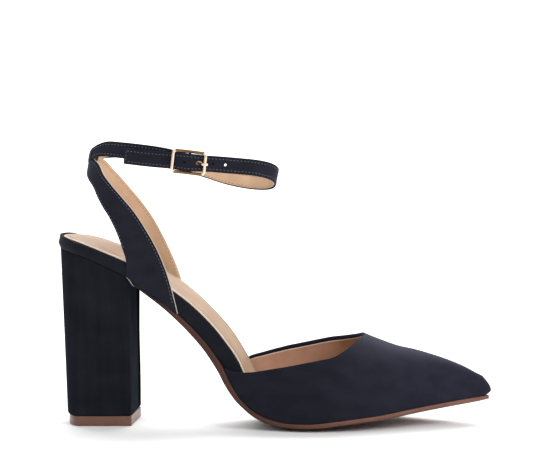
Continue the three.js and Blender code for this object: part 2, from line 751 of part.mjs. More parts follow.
// A round punch through both layers of the strap, square to them, at a place along its free end
function punch(along, size, stretch = 0) {
  const depth = 4 * strapThickness;
  const body = new THREE.CylinderGeometry(size / 2, size / 2, depth, 10);
  body.scale(1 + stretch / size, 1, 1);
  const centre = ankleAt(turnAt(along), weaveOut(along));
  const ahead = ankleAt(turnAt(along) + 1, 0).sub(ankleAt(turnAt(along) - 1, 0)).normalize();
  const basis = new THREE.Matrix4().makeBasis(
    new THREE.Vector3(ahead.x, ahead.y, 0),
    new THREE.Vector3(ahead.y, -ahead.x, 0),
    new THREE.Vector3(0, 0, -1),
  );
  body.applyMatrix4(basis);
  body.translate(centre.x, centre.y, strapZ(turnAt(along) - 360));
  return solid(body);
}

function straps() {
  const slotRadius = foldRadius + foldThickness / 2 + gap;
  const slot = new THREE.CylinderGeometry(slotRadius, slotRadius, prongWidth + 2 * slotGap, 12);
  slot.rotateX(Math.PI / 2);
  const centre = atBuckle(0, buckleLift, 0);
  slot.translate(centre.x, centre.y, centre.z);
  let body = solid(sling()).add(solid(ankleStrap()));
  body = body.subtract(solid(slot));
  body = body.subtract(punch(prongHole, prongWidth + 3 * gap, 1.6 * prongWidth));
  for (const step of [1, 2]) body = body.subtract(punch(prongHole + step * holeSpacing, holeSize));
  return geometryOf(body);
}

// Buckle: a bowed rectangular frame with a centre bar behind the strap
const sideBarOut = () => weaveOut(halfBuckle) + strapThickness / 2 + gap + buckleBar / 2;
function buckle() {
  const bow = (along) => mix(buckleLift, sideBarOut(), (along / halfBuckle) ** 2);
  const [halfLong, halfHigh] = [halfBuckle, (buckleWidth - buckleBar) / 2];
  const corners = [[1, 1], [-1, 1], [-1, -1], [1, -1]];
  const outline = [];
  corners.forEach(([sx, sy], corner) => {
    for (let i = 0; i <= 3; i += 1) {
      const angle = (corner + i / 3) * (Math.PI / 2);
      const x = sx * (halfLong - buckleCorner) + buckleCorner * Math.cos(angle);
      const y = sy * (halfHigh - buckleCorner) + buckleCorner * Math.sin(angle);
      outline.push([x, y]);
    }
    const midSide = sx === sy;
    if (midSide) for (const share of [0.5, 0, -0.5]) outline.push([sx * share * halfLong, sy * halfHigh]);
  });
  const place = ([x, y]) => atBuckle(x, bow(x), y);
  const rings = outline.map((point, i) => {
    const before = place(outline[(i + outline.length - 1) % outline.length]);
    const after = place(outline[(i + 1) % outline.length]);
    const along = after.sub(before).normalize();
    const outward = atBuckle(0, 1, 0).sub(atBuckle(0, 0, 0));
    const across = along.clone().cross(outward).normalize();
    const rise = across.clone().cross(along).normalize();
    const ring = [];
    for (let k = 0; k < 8; k += 1) {
      const angle = ((k + 0.5) / 8) * 2 * Math.PI;
      ring.push(place(point)
        .addScaledVector(across, (buckleBar / 2) * Math.cos(angle))
        .addScaledVector(rise, (buckleBar / 2) * Math.sin(angle)));
    }
    return ring;
  });
  const bar = new THREE.CylinderGeometry(centreBar / 2, centreBar / 2, buckleWidth - buckleBar, 10);
  bar.rotateX(Math.PI / 2);
  bar.rotateY(buckleTilt * degree);
  const centre = atBuckle(0, buckleLift, 0);
  bar.translate(centre.x, centre.y, centre.z);
  return geometryOf(solid(loft(rings, true)).add(solid(bar)));
}

// The pin's way through the hole. Hole is how far past the hole's middle, in shares of the fold's radius,
// and out is in shares of the way from the centre bar out to the side bar's rest.
const pinRun = table(['hole', 'out'], [
  [-2.03, 0.242],
  [-0.97, 0.173],
  [0.77, 0.63],
  [1.4, 0.873],
]);

// Prong: an eye round the centre bar and a pin through the strap, resting on the front side bar
function prong() {
  const eye = [];
  for (let i = 0; i <= 9; i += 1) {
    const angle = -60 * degree - (i / 9) * 210 * degree;
    eye.push([foldRadius * Math.cos(angle), buckleLift + foldRadius * Math.sin(angle)]);
  }
  const rest = sideBarOut() + buckleBar / 2 + gap + prongThickness / 2;
  const pin = pinRun.map(({ hole, out }) => [prongHole + hole * foldRadius, mix(buckleLift, rest, out)]);
  pin.push([halfBuckle, rest], [halfBuckle + prongReach, rest - prongTipDrop]);
  const points = [...eye, ...pin].map(([along, out]) => atBuckle(along, out, 0));
  const up = atBuckle(0, 0, 1).sub(atBuckle(0, 0, 0));
  const rings = points.map((point, i) => {
    const before = points[Math.max(i - 1, 0)];
    const after = points[Math.min(i + 1, points.length - 1)];
    const along = after.clone().sub(before).normalize();
    const thick = along.clone().cross(up).normalize();
    const corner = (a, b) => point.clone()
      .addScaledVector(thick, (a * prongThickness) / 2)
      .addScaledVector(up, (b * prongWidth) / 2);
    return [corner(-1, -0.6), corner(-0.6, -1), corner(0.6, -1), corner(1, -0.6),
      corner(1, 0.6), corner(0.6, 1), corner(-0.6, 1), corner(-1, 0.6)];
  });
  return loft(rings);
}

const suede = { color: 0x1f1e24, roughness: 0.95, metalness: 0 };
const tan = { color: 0xd9bfa6, roughness: 0.6, metalness: 0 };
const brown = { color: 0x6e5040, roughness: 0.65, metalness: 0 };
const gold = { color: 0xd9b08c, roughness: 0.25, metalness: 1 };

const shoe = new THREE.Group();
function add(name, geometry, finish) {
  const mesh = new THREE.Mesh(geometry, new THREE.MeshStandardMaterial(finish));
  mesh.name = name;
  shoe.add(mesh);
}

add('top_piece', topPiece(), brown);
add('heel', heel(), suede);
add('outsole', outsole(), brown);
add('insole_board', insoleBoard(), suede);
add('insole', insole(), tan);
add('vamp', vamp(), suede);
add('straps', straps(), suede);
add('buckle', buckle(), gold);
add('prong', prong(), gold);

export default shoe;
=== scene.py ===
"""A right shoe: a pointed pump on a tall block heel, with sling legs and a buckled ankle strap.

Lengths are worked out in millimetres, as in the part's own source, and become metres in a mesh.
+X points to the toe, +Y to the inner side of the foot, +Z up.
"""

import math
from math import cos, hypot, pi, radians, sin, tan

import bmesh
import bpy
from mathutils import Matrix, Vector


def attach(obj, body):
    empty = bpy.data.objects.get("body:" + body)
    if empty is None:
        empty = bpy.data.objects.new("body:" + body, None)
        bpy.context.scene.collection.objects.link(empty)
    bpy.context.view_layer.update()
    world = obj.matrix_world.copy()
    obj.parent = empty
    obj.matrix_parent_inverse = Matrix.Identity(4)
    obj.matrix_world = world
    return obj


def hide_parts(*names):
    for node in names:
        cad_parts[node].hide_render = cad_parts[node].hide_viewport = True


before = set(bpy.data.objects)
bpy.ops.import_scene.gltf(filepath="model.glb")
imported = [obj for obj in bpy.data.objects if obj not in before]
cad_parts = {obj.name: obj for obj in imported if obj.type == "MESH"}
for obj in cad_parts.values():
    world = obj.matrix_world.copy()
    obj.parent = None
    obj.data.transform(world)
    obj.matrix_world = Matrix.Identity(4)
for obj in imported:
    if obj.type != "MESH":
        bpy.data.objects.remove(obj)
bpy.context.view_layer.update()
scene = bpy.context.scene

# The shoe's sizes
LENGTH = 234
BALL_WIDTH = 78
HEEL_RISE = 90.8
TOE_SPRING = 10.6
INSTEP_HEIGHT = 41
GAP = 0.3
OUTSOLE_EDGE = 2.3
TREAD_DEPTH = 2.1
TREAD_FLAT = 0.2
SEAT = 9.1
INSOLE = 0.9
BOARD_INSET = 0.5
INSOLE_INSET = 0.8
HEEL_ROUND = 28
TOE_ROUND = 5
HEEL_BREAST_X = -76.4
HEEL_BASE_LENGTH = 37
HEEL_BASE_WIDTH = 42
HEEL_BASE_ROUND = 0.22
HEEL_BASE_TAPER = 0.93
HEEL_BACKSET = 4
HEEL_TOP_INSET = 0.8
HEEL_CORNER_ROUND = 1.1
# How far in from the heel's inner side the breast takes the painted-shade cover, in millimetres
HEEL_CORNER_SHADE_WIDTH = 15
TOP_PIECE = 5.5
TOP_PIECE_INSET = 0.9
VAMP_WALL = 1.8
VAMP_INSET = 0.6
VAMP_BACK_X = -23.8
THROAT_X = 49
SIDE_BULGE = 1.2
ARCH_POWER = 2.2
NOSE_HEIGHT = 5.2
NOSE_ROUND = 3
NOSE_OVERHANG = 1.2
STRAP = 1.8
STRAP_WIDTH = 8.6
LOOP_LENGTH = 100.5
LOOP_WIDTH = 45
LOOP_FRONT_X = 1.6
STRAP_HEIGHT = 147
SLING_PROUD = 0.6
SLING_BULGE = 3
SLING_SINK = 1
SLING_LEAN = 0.19
SLING_LEAN_DEPTH = 13
SLING_ROUND = 0.6
SLING_SEAT = 11
STRAP_LEAN = 0.2
FREE_END_TURN = 55.5
BACK_LOOP_TURN = 17
HOLE = 1.5
HOLE_SPACING = 7.4
PRONG_HOLE = 5.25
BUCKLE_TURN = 97.1
BUCKLE_LENGTH = 18.9
BUCKLE_WIDTH = 13
BUCKLE_BAR = 1.5
BUCKLE_TILT = 7
BUCKLE_CORNER = 1.6
CENTRE_BAR = 1.4
FOLD = 1
FOLD_LENGTH = 3.6
SLOT_GAP = 0.35
PRONG_THICK = 0.9
PRONG_WIDTH = 1.5

HEEL_BACK_X = -LENGTH / 2
TOE_TIP_X = LENGTH / 2 - NOSE_OVERHANG
TOE_INSET = 2
VAMP_TIP_X = TOE_TIP_X - TOE_INSET * VAMP_INSET
HOLLOW_TIP_X = VAMP_TIP_X - TOE_INSET * VAMP_WALL
LOOP_MIDDLE_X = LOOP_FRONT_X - LOOP_LENGTH / 2


def table(names, rows):
    """A list of rows under their column names."""
    keys = names.split()
    return [dict(zip(keys, row)) for row in rows]


# The outer and inner edge of the outsole, in shares of the ball's width
FOOTPRINT = table("share outer inner", [
    (0.0, 0.301, 0.301), (0.17, 0.31, 0.295), (0.25, 0.315, 0.23), (0.33, 0.32, 0.175),
    (0.4, 0.35, 0.175), (0.47, 0.413, 0.24), (0.54, 0.472, 0.35), (0.61, 0.5, 0.45),
    (0.67, 0.482, 0.495), (0.73, 0.418, 0.468), (0.79, 0.32, 0.388), (0.85, 0.206, 0.299),
    (0.91, 0.096, 0.218), (0.96, 0.006, 0.16), (1.0, -0.045, 0.115),
])
# The sole line, seen from the side
SOLE_LINE = table("share rise spring", [
    (0.0, 1.0, 0), (0.056, 0.973, 0), (0.115, 0.915, 0), (0.171, 0.843, 0), (0.244, 0.718, 0),
    (0.299, 0.606, 0), (0.355, 0.458, 0), (0.393, 0.316, 0), (0.41, 0.227, 0), (0.43, 0.146, 0),
    (0.449, 0.096, 0), (0.47, 0.057, 0), (0.5, 0.024, 0), (0.534, 0.005, 0), (0.56, 0, 0),
    (0.594, 0, 0), (0.62, 0, 0.04), (0.654, 0, 0.13), (0.692, 0, 0.22), (0.761, 0, 0.37),
    (0.829, 0, 0.58), (0.902, 0, 0.78), (0.97, 0, 0.94), (1.0, 0, 1.0),
])
# Thicknesses, in shares of the outsole's edge, the tread's depth and the seat
THICKNESS = table("share outsole tread seat", [
    (0.0, 0.65, 0, 0.79), (0.1, 0.65, 0, 0.81), (0.17, 0.65, 0, 0.88), (0.25, 0.95, 0.1, 0.97),
    (0.3, 1.3, 0.2, 1.0), (0.36, 1.48, 0.2, 1.0), (0.4, 1.45, 0.2, 1.0), (0.44, 1.08, 0.4, 0.86),
    (0.48, 1.0, 0.8, 0.64), (0.54, 1.0, 1.0, 0.5), (0.62, 1.0, 1.0, 0.49), (0.7, 0.96, 0.9, 0.49),
    (0.85, 0.96, 0.5, 0.48), (0.96, 0.96, 0.2, 0.48), (1.0, 0.8, 0, 0.48),
])
# The height of the vamp's arch, in shares of its height at the throat
VAMP_ARCH = table("share height", [
    (0.39, 1.9), (0.44, 1.81), (0.5, 1.7), (0.58, 1.43), (0.62, 1.31), (0.654, 1.19),
    (0.684, 1.085), (0.709, 1.0), (0.748, 0.89), (0.786, 0.79), (0.823, 0.714), (0.859, 0.629),
    (0.897, 0.531), (0.934, 0.42), (0.97, 0.29), (1.0, 0.2),
])
# How far round the arch the topline lies, in degrees, by the root of the way back from the throat
TOPLINE = table("back outer inner", [
    (0.0, 90, 90), (0.12, 77.5, 80), (0.2, 66, 70), (0.29, 55, 60.6), (0.42, 42.4, 50.7),
    (0.54, 36, 43.6), (0.64, 31.2, 37.6), (0.81, 20.6, 25.4), (0.92, 11.4, 14.6), (1.0, 0.6, 0.6),
])
# One leg of the sling, from its foot to the back of the ankle
SLING_EDGES = table("at low_turn low outer inner high", [
    (0, 56.2, 0.55, 88.8, 88.4, 0.425), (1, 56.2, 0.614, 85.2, 85, 0.515),
    (2, 52.8, 0.674, 81.8, 80.8, 0.585), (3, 49, 0.724, 76.4, 74, 0.665),
    (4, 43.3, 0.775, 69.2, 66.3, 0.74), (5, 37.4, 0.809, 62.2, 58.9, 0.797),
    (6, 30.8, 0.845, 54, 51.7, 0.844), (7, 24.4, 0.879, 45.2, 44.9, 0.886),
    (8, 15.2, 0.902, 36.3, 37.2, 0.925), (9, 7.2, 0.917, 26, 25.5, 0.968),
    (10, 0, 0.929, 0, 0, 0.99),
])
# The ankle strap's height and width on its way round, by the degrees turned back
STRAP_RUN = table("back height width", [
    (-110, 0.975, 1), (-96.5, 0.98, 1), (-82, 1.0, 1), (-65, 1.013, 1), (-45, 1.02, 0.98),
    (-37, 1.02, 0.92), (-28, 1.013, 0.82), (-15, 0.996, 0.78), (0, 0.982, 0.76), (12, 0.984, 0.78),
    (27, 0.994, 0.84), (45, 0.995, 0.9), (60, 0.979, 0.96), (77, 0.959, 1), (95, 0.93, 1),
    (116, 0.895, 1), (137, 0.882, 1), (158, 0.888, 1), (180, 0.913, 1), (197, 0.934, 1),
    (215, 0.951, 1), (240, 0.966, 1), (253, 0.974, 1), (263.5, 0.98, 1.09),
    (274, 0.985, 1), (285, 0.99, 1), (307, 1.001, 1),
])
# How far the strap's upper layer stands off, in shares of the buckle's half length
WEAVE = table("along over fold", [
    (-4, 1, 0), (-1.8, 1, 0.02), (-1.4, 1, 0.08), (-1, 1, 0.28), (-0.65, 1, 0.48),
    (-0.42, 1, 0.68), (-0.2, 1, 0.9), (0, 1, 1), (0.25, 1, 0.88), (0.55, 1, 0.5), (1, 1, 0.24),
    (1.4, 0.75, 0), (2, 0.25, 0), (2.8, 0, 0), (5, 0, 0),
])


def column(rows, name):
    """A smooth curve through one column of a table, against its first column."""
    key = next(iter(rows[0]))
    at = [row[key] for row in rows]
    value = [row[name] for row in rows]
    last = len(rows) - 1

    def slope(i):
        a, b = max(i - 1, 0), min(i + 1, last)
        return (value[b] - value[a]) / (at[b] - at[a])

    slopes = [slope(i) for i in range(last + 1)]

    def curve(x):
        i = 0
        while i < last - 1 and x > at[i + 1]:
            i += 1
        span = at[i + 1] - at[i]
        u = min(1, max(0, (x - at[i]) / span))
        return hermite(value[i], value[i + 1], span * slopes[i], span * slopes[i + 1], u)

    return curve


outer_share, inner_share = column(FOOTPRINT, "outer"), column(FOOTPRINT, "inner")
rise_share, spring_share = column(SOLE_LINE, "rise"), column(SOLE_LINE, "spring")
outsole_share, tread_share = column(THICKNESS, "outsole"), column(THICKNESS, "tread")
seat_share = column(THICKNESS, "seat")
arch_share = column(VAMP_ARCH, "height")
top_outer, top_inner = column(TOPLINE, "outer"), column(TOPLINE, "inner")
strap_lift, strap_share = column(STRAP_RUN, "height"), column(STRAP_RUN, "width")
weave_over, weave_fold = column(WEAVE, "over"), column(WEAVE, "fold")
sling_low_turn, sling_low = column(SLING_EDGES, "low_turn"), column(SLING_EDGES, "low")
sling_outer, sling_inner = column(SLING_EDGES, "outer"), column(SLING_EDGES, "inner")
sling_high = column(SLING_EDGES, "high")


def mix(a, b, t):
    return a + (b - a) * t


def smooth(x, low, high):
    t = min(1, max(0, (x - low) / (high - low)))
    return t * t * (3 - 2 * t)


def quarter(u):
    return 1 if u >= 1 else math.sqrt(max(0, u * (2 - u)))


def hermite(a, b, leave, arrive, t):
    """A smooth way from a to b, for numbers and vectors, with the slopes at both ends."""
    return (a * (2 * t**3 - 3 * t * t + 1) + b * (3 * t * t - 2 * t**3)
            + leave * (t**3 - 2 * t * t + t) + arrive * (t**3 - t * t))


def round_angles(count, shift=0):
    return [2 * pi * (k + shift) / count for k in range(count)]


def squared(angle, power):
    """A point of the unit circle, squared off by a power above 2."""
    c, s = cos(angle), sin(angle)
    scale = (abs(c) ** power + abs(s) ** power) ** (-1 / power)
    return c * scale, s * scale


def share_at(x):
    return (x - HEEL_BACK_X) / LENGTH


def middle_y(x):
    return (inner_share(share_at(x)) - outer_share(share_at(x))) / 2 * BALL_WIDTH


def half_width(x):
    return (inner_share(share_at(x)) + outer_share(share_at(x))) / 2 * BALL_WIDTH


def edge_y(x, side, inset):
    """The footprint's edge on one side (-1 outer, 1 inner), drawn in by an inset."""
    slant = hypot(1, half_width(x + 1) - half_width(x))
    from_heel = quarter((x - HEEL_BACK_X - inset) / HEEL_ROUND)
    from_toe = quarter((TOE_TIP_X - TOE_INSET * inset - x) / TOE_ROUND)
    return middle_y(x) + side * (half_width(x) - inset * slant) * from_heel * from_toe


def sole_z(x):
    share = share_at(x)
    lift = rise_share(share) * HEEL_RISE + spring_share(share) * TOE_SPRING
    return OUTSOLE_EDGE + TREAD_DEPTH + lift


def sole_slope(x):
    return sole_z(x + 0.5) - sole_z(x - 0.5)


def on_sole(x, y, height):
    """A point so far above the sole line, square to it, but upright over the heel's back."""
    slope = sole_slope(x) * smooth(x, HEEL_BACK_X, HEEL_BREAST_X)
    scale = height / hypot(1, slope)
    return Vector((x - slope * scale, y, sole_z(x) + scale))


def vamp_room(x):
    return smooth(x, VAMP_BACK_X - 7, VAMP_BACK_X - 2) * (VAMP_INSET + VAMP_WALL + GAP - BOARD_INSET)


def board_edge(x):
    return BOARD_INSET + vamp_room(x)


def seat_top(x):
    return GAP + SEAT * seat_share(share_at(x))


# Meshes

SAME_POINT = 2e-6
NO_LENGTH = 1e-7


def linked(name, mesh):
    thing = bpy.data.objects.new(name, mesh)
    scene.collection.objects.link(thing)
    return thing


def outward_mesh(name, points, faces, indices=(), clean=False):
    """A mesh from points in millimetres, its faces turned outwards."""
    mesh = bpy.data.meshes.new(name)
    mesh.from_pydata([tuple(c / 1000 for c in p) for p in points], [], faces)
    if indices:
        mesh.polygons.foreach_set("material_index", indices)
    work = bmesh.new()
    work.from_mesh(mesh)
    if clean:
        bmesh.ops.remove_doubles(work, verts=work.verts, dist=SAME_POINT)
        bmesh.ops.dissolve_degenerate(work, edges=work.edges, dist=NO_LENGTH)
    bmesh.ops.recalc_face_normals(work, faces=work.faces)
    work.to_mesh(mesh)
    work.free()
    return mesh


def new_piece(name, points, faces, materials, node=None, indices=(), sharp=60):
    """A smooth-shaded piece of the shoe. Where it names a node, it stands for it."""
    mesh = outward_mesh(name, points, faces, indices, True)
    for material in materials:
        mesh.materials.append(material)
    mesh.shade_smooth()
    mesh.set_sharp_from_angle(angle=radians(sharp))
    piece = linked(name, mesh)
    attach(piece, "root")
    if node:
        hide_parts(node)
    return piece


def grid_faces(rows, columns, wrap_columns=False, start=0):
    """The quads of a grid of points that is laid out row by row."""
    faces = []
    for r in range(rows - 1):
        for c in range(columns if wrap_columns else columns - 1):
            d = (c + 1) % columns
            a = start + r * columns
            faces.append((a + c, a + d, a + columns + d, a + columns + c))
    return faces


def tube_faces(rings, count, closed=False, start=0):
    """Faces round and along a tube of rings; a fan closes each end unless the tube is closed."""
    faces = grid_faces(rings, count, True, start)
    if closed:
        last = start + (rings - 1) * count
        for c in range(count):
            d = (c + 1) % count
            faces.append((last + c, last + d, start + d, start + c))
    else:
        faces.append(tuple(start + c for c in range(count)))
        faces.append(tuple(start + (rings - 1) * count + c for c in reversed(range(count))))
    return faces


def spread(start, end, start_round, end_round, round_steps, steps):
    """Places along the shoe, closer together over round ends."""
    turned = [1 - cos(i / round_steps * pi / 2) for i in range(round_steps)]
    places = [start + start_round * t for t in turned]
    places += [mix(start + start_round, end - end_round, i / steps) for i in range(steps + 1)]
    return places + [end - end_round * t for t in reversed(turned)]


def at(value, place):
    """A value that may be a function of the place."""
    return value(place) if callable(value) else value


def slab(places, inset, layers, low_cap, high_cap, across=12):
    """A body on the sole line. Layers run from its lower to its upper rim, each with its distance in
    from the footprint's edge and its height; the caps' heights are given across the body."""
    outline = [Vector((x, edge_y(x, -1, inset(x)))) for x in places]
    outline += [Vector((x, edge_y(x, 1, inset(x)))) for x in reversed(places[1:-1])]
    count = len(outline)
    inward = []
    for i in range(count):
        along = outline[(i + 1) % count] - outline[i - 1]
        inward.append(Vector((-along.y, along.x)).normalized())
    points, faces = [], []
    for into, height in layers:
        for i, place in enumerate(outline):
            p = place + inward[i] * at(into, place.x)
            points.append(on_sole(p.x, p.y, at(height, place.x)))
    faces += grid_faces(len(layers), count, True)
    stations = len(places)
    for layer, cap in ((0, low_cap), (len(layers) - 1, high_cap)):
        into, height = layers[layer]
        first = layer * count
        lines = [[first]]
        for i in range(1, stations - 1):
            depth, base = at(into, places[i]), at(height, places[i])
            a = outline[i] + inward[i] * depth
            b = outline[count - i] + inward[count - i] * depth
            line = [first + i]
            for k in range(1, across):
                p = a.lerp(b, k / across)
                points.append(on_sole(p.x, p.y, base + cap(places[i], 2 * k / across - 1)))
                line.append(len(points) - 1)
            lines.append(line + [first + count - i])
        lines.append([first + stations - 1])
        for one, two in zip(lines, lines[1:]):
            if len(one) == 1:
                faces += [(one[0], two[k], two[k + 1]) for k in range(across)]
            elif len(two) == 1:
                faces += [(one[k], one[k + 1], two[0]) for k in range(across)]
            else:
                faces += [(one[k], one[k + 1], two[k + 1], two[k]) for k in range(across)]
    return points, faces


# Materials

class Nodes:
    """A procedural material, built up node by node."""

    def __init__(self, name):
        self.material = bpy.data.materials.new(name)
        self.material.use_nodes = True
        self.tree = self.material.node_tree
        self.shader = self.tree.nodes["Principled BSDF"]
        self.place = self.tree.nodes.new("ShaderNodeTexCoord").outputs["Object"]

    def set(self, socket, value):
        self.shader.inputs[socket].default_value = value

    def link(self, output, socket):
        self.tree.links.new(output, self.shader.inputs[socket])

    def node(self, kind, linked_to, values=()):
        """A new node, with sockets that are linked to outputs and sockets that hold values."""
        node = self.tree.nodes.new("ShaderNode" + kind)
        for socket, output in linked_to.items():
            self.tree.links.new(output, node.inputs[socket])
        for socket, value in dict(values).items():
            node.inputs[socket].default_value = value
        return node

    def noise(self, size, detail=3, rough=0.55, stretch=(1, 1, 1)):
        """Noise with features of about a size in millimetres, drawn out along the axes."""
        scale = [1000 / size / s for s in stretch]
        place = self.node("Mapping", {"Vector": self.place}, {"Scale": scale}).outputs["Vector"]
        values = {"Scale": 1, "Detail": detail, "Roughness": rough}
        return self.node("TexNoise", {"Vector": place}, values).outputs["Fac"]

    def ramp(self, value, stops):
        """A ramp through (place, value or colour) stops."""
        node = self.node("ValToRGB", {"Fac": value})
        elements = node.color_ramp.elements
        while len(elements) < len(stops):
            elements.new(0.5)
        for element, (place, colour) in zip(elements, stops):
            element.position = place
            element.color = (colour,) * 3 + (1,) if isinstance(colour, (int, float)) else (*colour, 1)
        return node.outputs["Color"]

    def along(self, axis, start, end):
        """A share that grows from 0 to 1 between two places on an axis, in millimetres."""
        place = self.node("SeparateXYZ", {"Vector": self.place}).outputs[axis]
        node = self.node("MapRange", {"Value": place}, {"From Min": start / 1000, "From Max": end / 1000})
        node.interpolation_type = "SMOOTHSTEP"
        return node.outputs["Result"]

    def multiply(self, one, two):
        node = self.tree.nodes.new("ShaderNodeMix")
        node.data_type = "RGBA"
        node.blend_type = "MULTIPLY"
        node.inputs["Factor"].default_value = 1
        self.tree.links.new(one, node.inputs["A"])
        self.tree.links.new(two, node.inputs["B"])
        return node.outputs["Result"]

    def bump(self, *layers):
        """Bump from (value, height in millimetres) layers, one on the other."""
        normal = None
        for value, height in layers:
            linked_to = {"Height": value, "Normal": normal} if normal else {"Height": value}
            normal = self.node("Bump", linked_to, {"Distance": height / 1000}).outputs["Normal"]
        self.link(normal, "Normal")


def suede(name, dark, light, sheen, patch=9, streaks=None, specular=0.12, lift=None, corner=None):
    """Suede-like cloth: a short nap, brushed lighter and darker in soft patches, and in upright streaks.
    lift is where painted light makes it lighter along the shoe, and corner where painted shade makes it dark
    across it."""
    m = Nodes(name)
    nap = m.noise(0.35, 4, 0.7)
    brushed = m.noise(patch, 3, 0.5, (1.6, 1, 0.8))
    colour = m.ramp(brushed, [(0.3, dark), (0.72, light)])
    if streaks:
        brush = m.noise(3.4, 2, 0.5, (1, 1, 16))
        colour = m.multiply(colour, m.ramp(brush, [(0.35, streaks), (0.62, 1.0)]))
    # Painted light: lift lightens the colour along the shoe, towards where the light falls
    if lift:
        colour = m.multiply(colour, m.ramp(m.along("X", *lift), [(0, 0.62), (1, 1.0)]))
    # Painted shade: corner darkens the colour across the shoe, down to near black
    if corner:
        colour = m.multiply(colour, m.ramp(m.along("Y", *corner), [(0, 1.0), (1, 0.08)]))
    grain = m.ramp(nap, [(0.25, 0.78), (0.75, 1.0)])
    m.link(m.multiply(colour, grain), "Base Color")
    m.link(m.ramp(nap, [(0.2, 0.82), (0.8, 0.98)]), "Roughness")
    m.set("Sheen Weight", sheen)
    m.set("Sheen Roughness", 0.5)
    m.set("Sheen Tint", (0.55, 0.6, 0.85, 1))
    m.set("Specular IOR Level", specular)
    m.bump((nap, 0.06), (m.noise(2.2, 2), 0.06))
    return m.material


def leather(name, dark, light, rough=(0.42, 0.58), grain=0.5, depth=0.035):
    """Smooth lining leather with a fine grain and faint clouding."""
    m = Nodes(name)
    fine = m.noise(grain, 4, 0.6)
    cloud = m.noise(14, 3)
    colour = m.ramp(cloud, [(0.3, dark), (0.7, light)])
    m.link(m.multiply(colour, m.ramp(fine, [(0.3, 0.93), (0.7, 1.0)])), "Base Color")
    m.link(m.ramp(fine, [(0.25, rough[0]), (0.75, rough[1])]), "Roughness")
    m.set("Specular IOR Level", 0.4)
    m.bump((fine, depth), (m.noise(1.6, 3), depth))
    return m.material


DYE_FADE = 14
SHADE_WAIST_TO_TOE = (-30, 90)


def rubber(name, dark, light, rough=(0.5, 0.68), stretch=(6, 1, 1), dyed_to=None):
    """Sole material: faint scuffs drawn out along the edge, dyed dark up to a place along the shoe, and
    painted shade that darkens it from the toe back towards the waist.
    """
    m = Nodes(name)
    scuff = m.noise(1.4, 5, 0.65, stretch)
    cloud = m.noise(16, 2)
    colour = m.ramp(cloud, [(0.3, dark), (0.7, light)])
    colour = m.multiply(colour, m.ramp(scuff, [(0.3, 0.86), (0.7, 1.0)]))
    if dyed_to is not None:
        dye = m.ramp(m.along("X", dyed_to - DYE_FADE, dyed_to), [(0, 0.07), (1, 1.0)])
        # Painted shade: the sole gets darker from the toe back towards the waist, for the shade along its
        # edge under the arch
        waist_shade = m.ramp(m.along("X", *SHADE_WAIST_TO_TOE), [(0, (0.33, 0.26, 0.26)), (1, 1.0)])
        colour = m.multiply(m.multiply(colour, dye), waist_shade)
        m.set("Specular IOR Level", 0.25)
    m.link(colour, "Base Color")
    m.link(m.ramp(scuff, [(0.25, rough[0]), (0.75, rough[1])]), "Roughness")
    m.bump((scuff, 0.04), (m.noise(0.4, 3), 0.02))
    return m.material


def metal(name, colour, rough=(0.16, 0.3)):
    """Polished plating with fine rubbing marks."""
    m = Nodes(name)
    marks = m.noise(0.5, 4, 0.6, (5, 5, 1))
    m.link(m.ramp(marks, [(0.3, tuple(0.92 * c for c in colour)), (0.7, colour)]), "Base Color")
    m.link(m.ramp(marks, [(0.3, rough[0]), (0.75, rough[1])]), "Roughness")
    m.set("Metallic", 1)
    m.bump((marks, 0.006))
    return m.material


def thread(name, colour):
    """Twisted thread."""
    m = Nodes(name)
    twist = m.noise(0.3, 2, 0.5, (1, 1, 0.4))
    m.link(m.ramp(twist, [(0.3, tuple(0.75 * c for c in colour)), (0.7, colour)]), "Base Color")
    m.set("Roughness", 0.7)
    m.set("Sheen Weight", 0.2)
    m.bump((twist, 0.04))
    return m.material


SUEDE = suede("navy_suede", (0.0075, 0.0076, 0.0128), (0.0128, 0.0129, 0.0215), 0.15)
BOARD_SUEDE = suede("navy_board_suede", (0.0056, 0.0062, 0.0094), (0.0088, 0.0097, 0.0146), 0.1, 14)
# Painted light: the vamp's suede is lighter than the straps' and darkens towards its back, for the light
# falling on the vamp's front
VAMP_SUEDE_PAINTED_LIGHT = suede("navy_vamp_suede_painted_light", (0.0104, 0.0108, 0.0184), (0.0172, 0.0178, 0.0302), 0.11,
                   lift=(10, 100))
HEEL_NAVY = (0.0095, 0.0099, 0.0134), (0.0143, 0.0149, 0.0201)
HEEL_SUEDE = suede("navy_heel_suede", *HEEL_NAVY, 0.04, 14, 0.86, 0)
# Painted shade: the heel cover darkens to near black across the breast's far corner, where the corner turns
# away from the light
HEEL_CORNER_SHADE = suede("heel_corner_painted_shade", *HEEL_NAVY, 0, 14, 0.86, 0, corner=(10, 17))
LINING = leather("tan_lining", (0.54, 0.355, 0.225), (0.64, 0.43, 0.28))
VAMP_LINING = leather("vamp_lining", (0.4, 0.215, 0.135), (0.5, 0.29, 0.195), grain=0.8, depth=0.06)
SOCK = leather("tan_sock", (0.35, 0.222, 0.137), (0.42, 0.27, 0.169))
SOCK_RIM = leather("pale_sock_rim", (0.52, 0.42, 0.33), (0.6, 0.49, 0.4))
SOCK_GROOVE = leather("brown_sock_groove", (0.25, 0.145, 0.085), (0.31, 0.185, 0.11))
CUT_EDGE = leather("pale_cut_edge", (0.56, 0.49, 0.4), (0.64, 0.57, 0.47), (0.7, 0.8), 0.3, 0.06)
LINING_EDGE = leather("pale_lining_edge", (0.5, 0.36, 0.26), (0.58, 0.43, 0.32))
SOLE = rubber("brown_sole", (0.146, 0.066, 0.046), (0.19, 0.09, 0.064), dyed_to=-50)
TIP = rubber("brown_top_piece", (0.122, 0.05, 0.029), (0.142, 0.06, 0.036), (0.3, 0.42), (3, 3, 1))
GOLD = metal("pale_gold", (0.86, 0.68, 0.52))
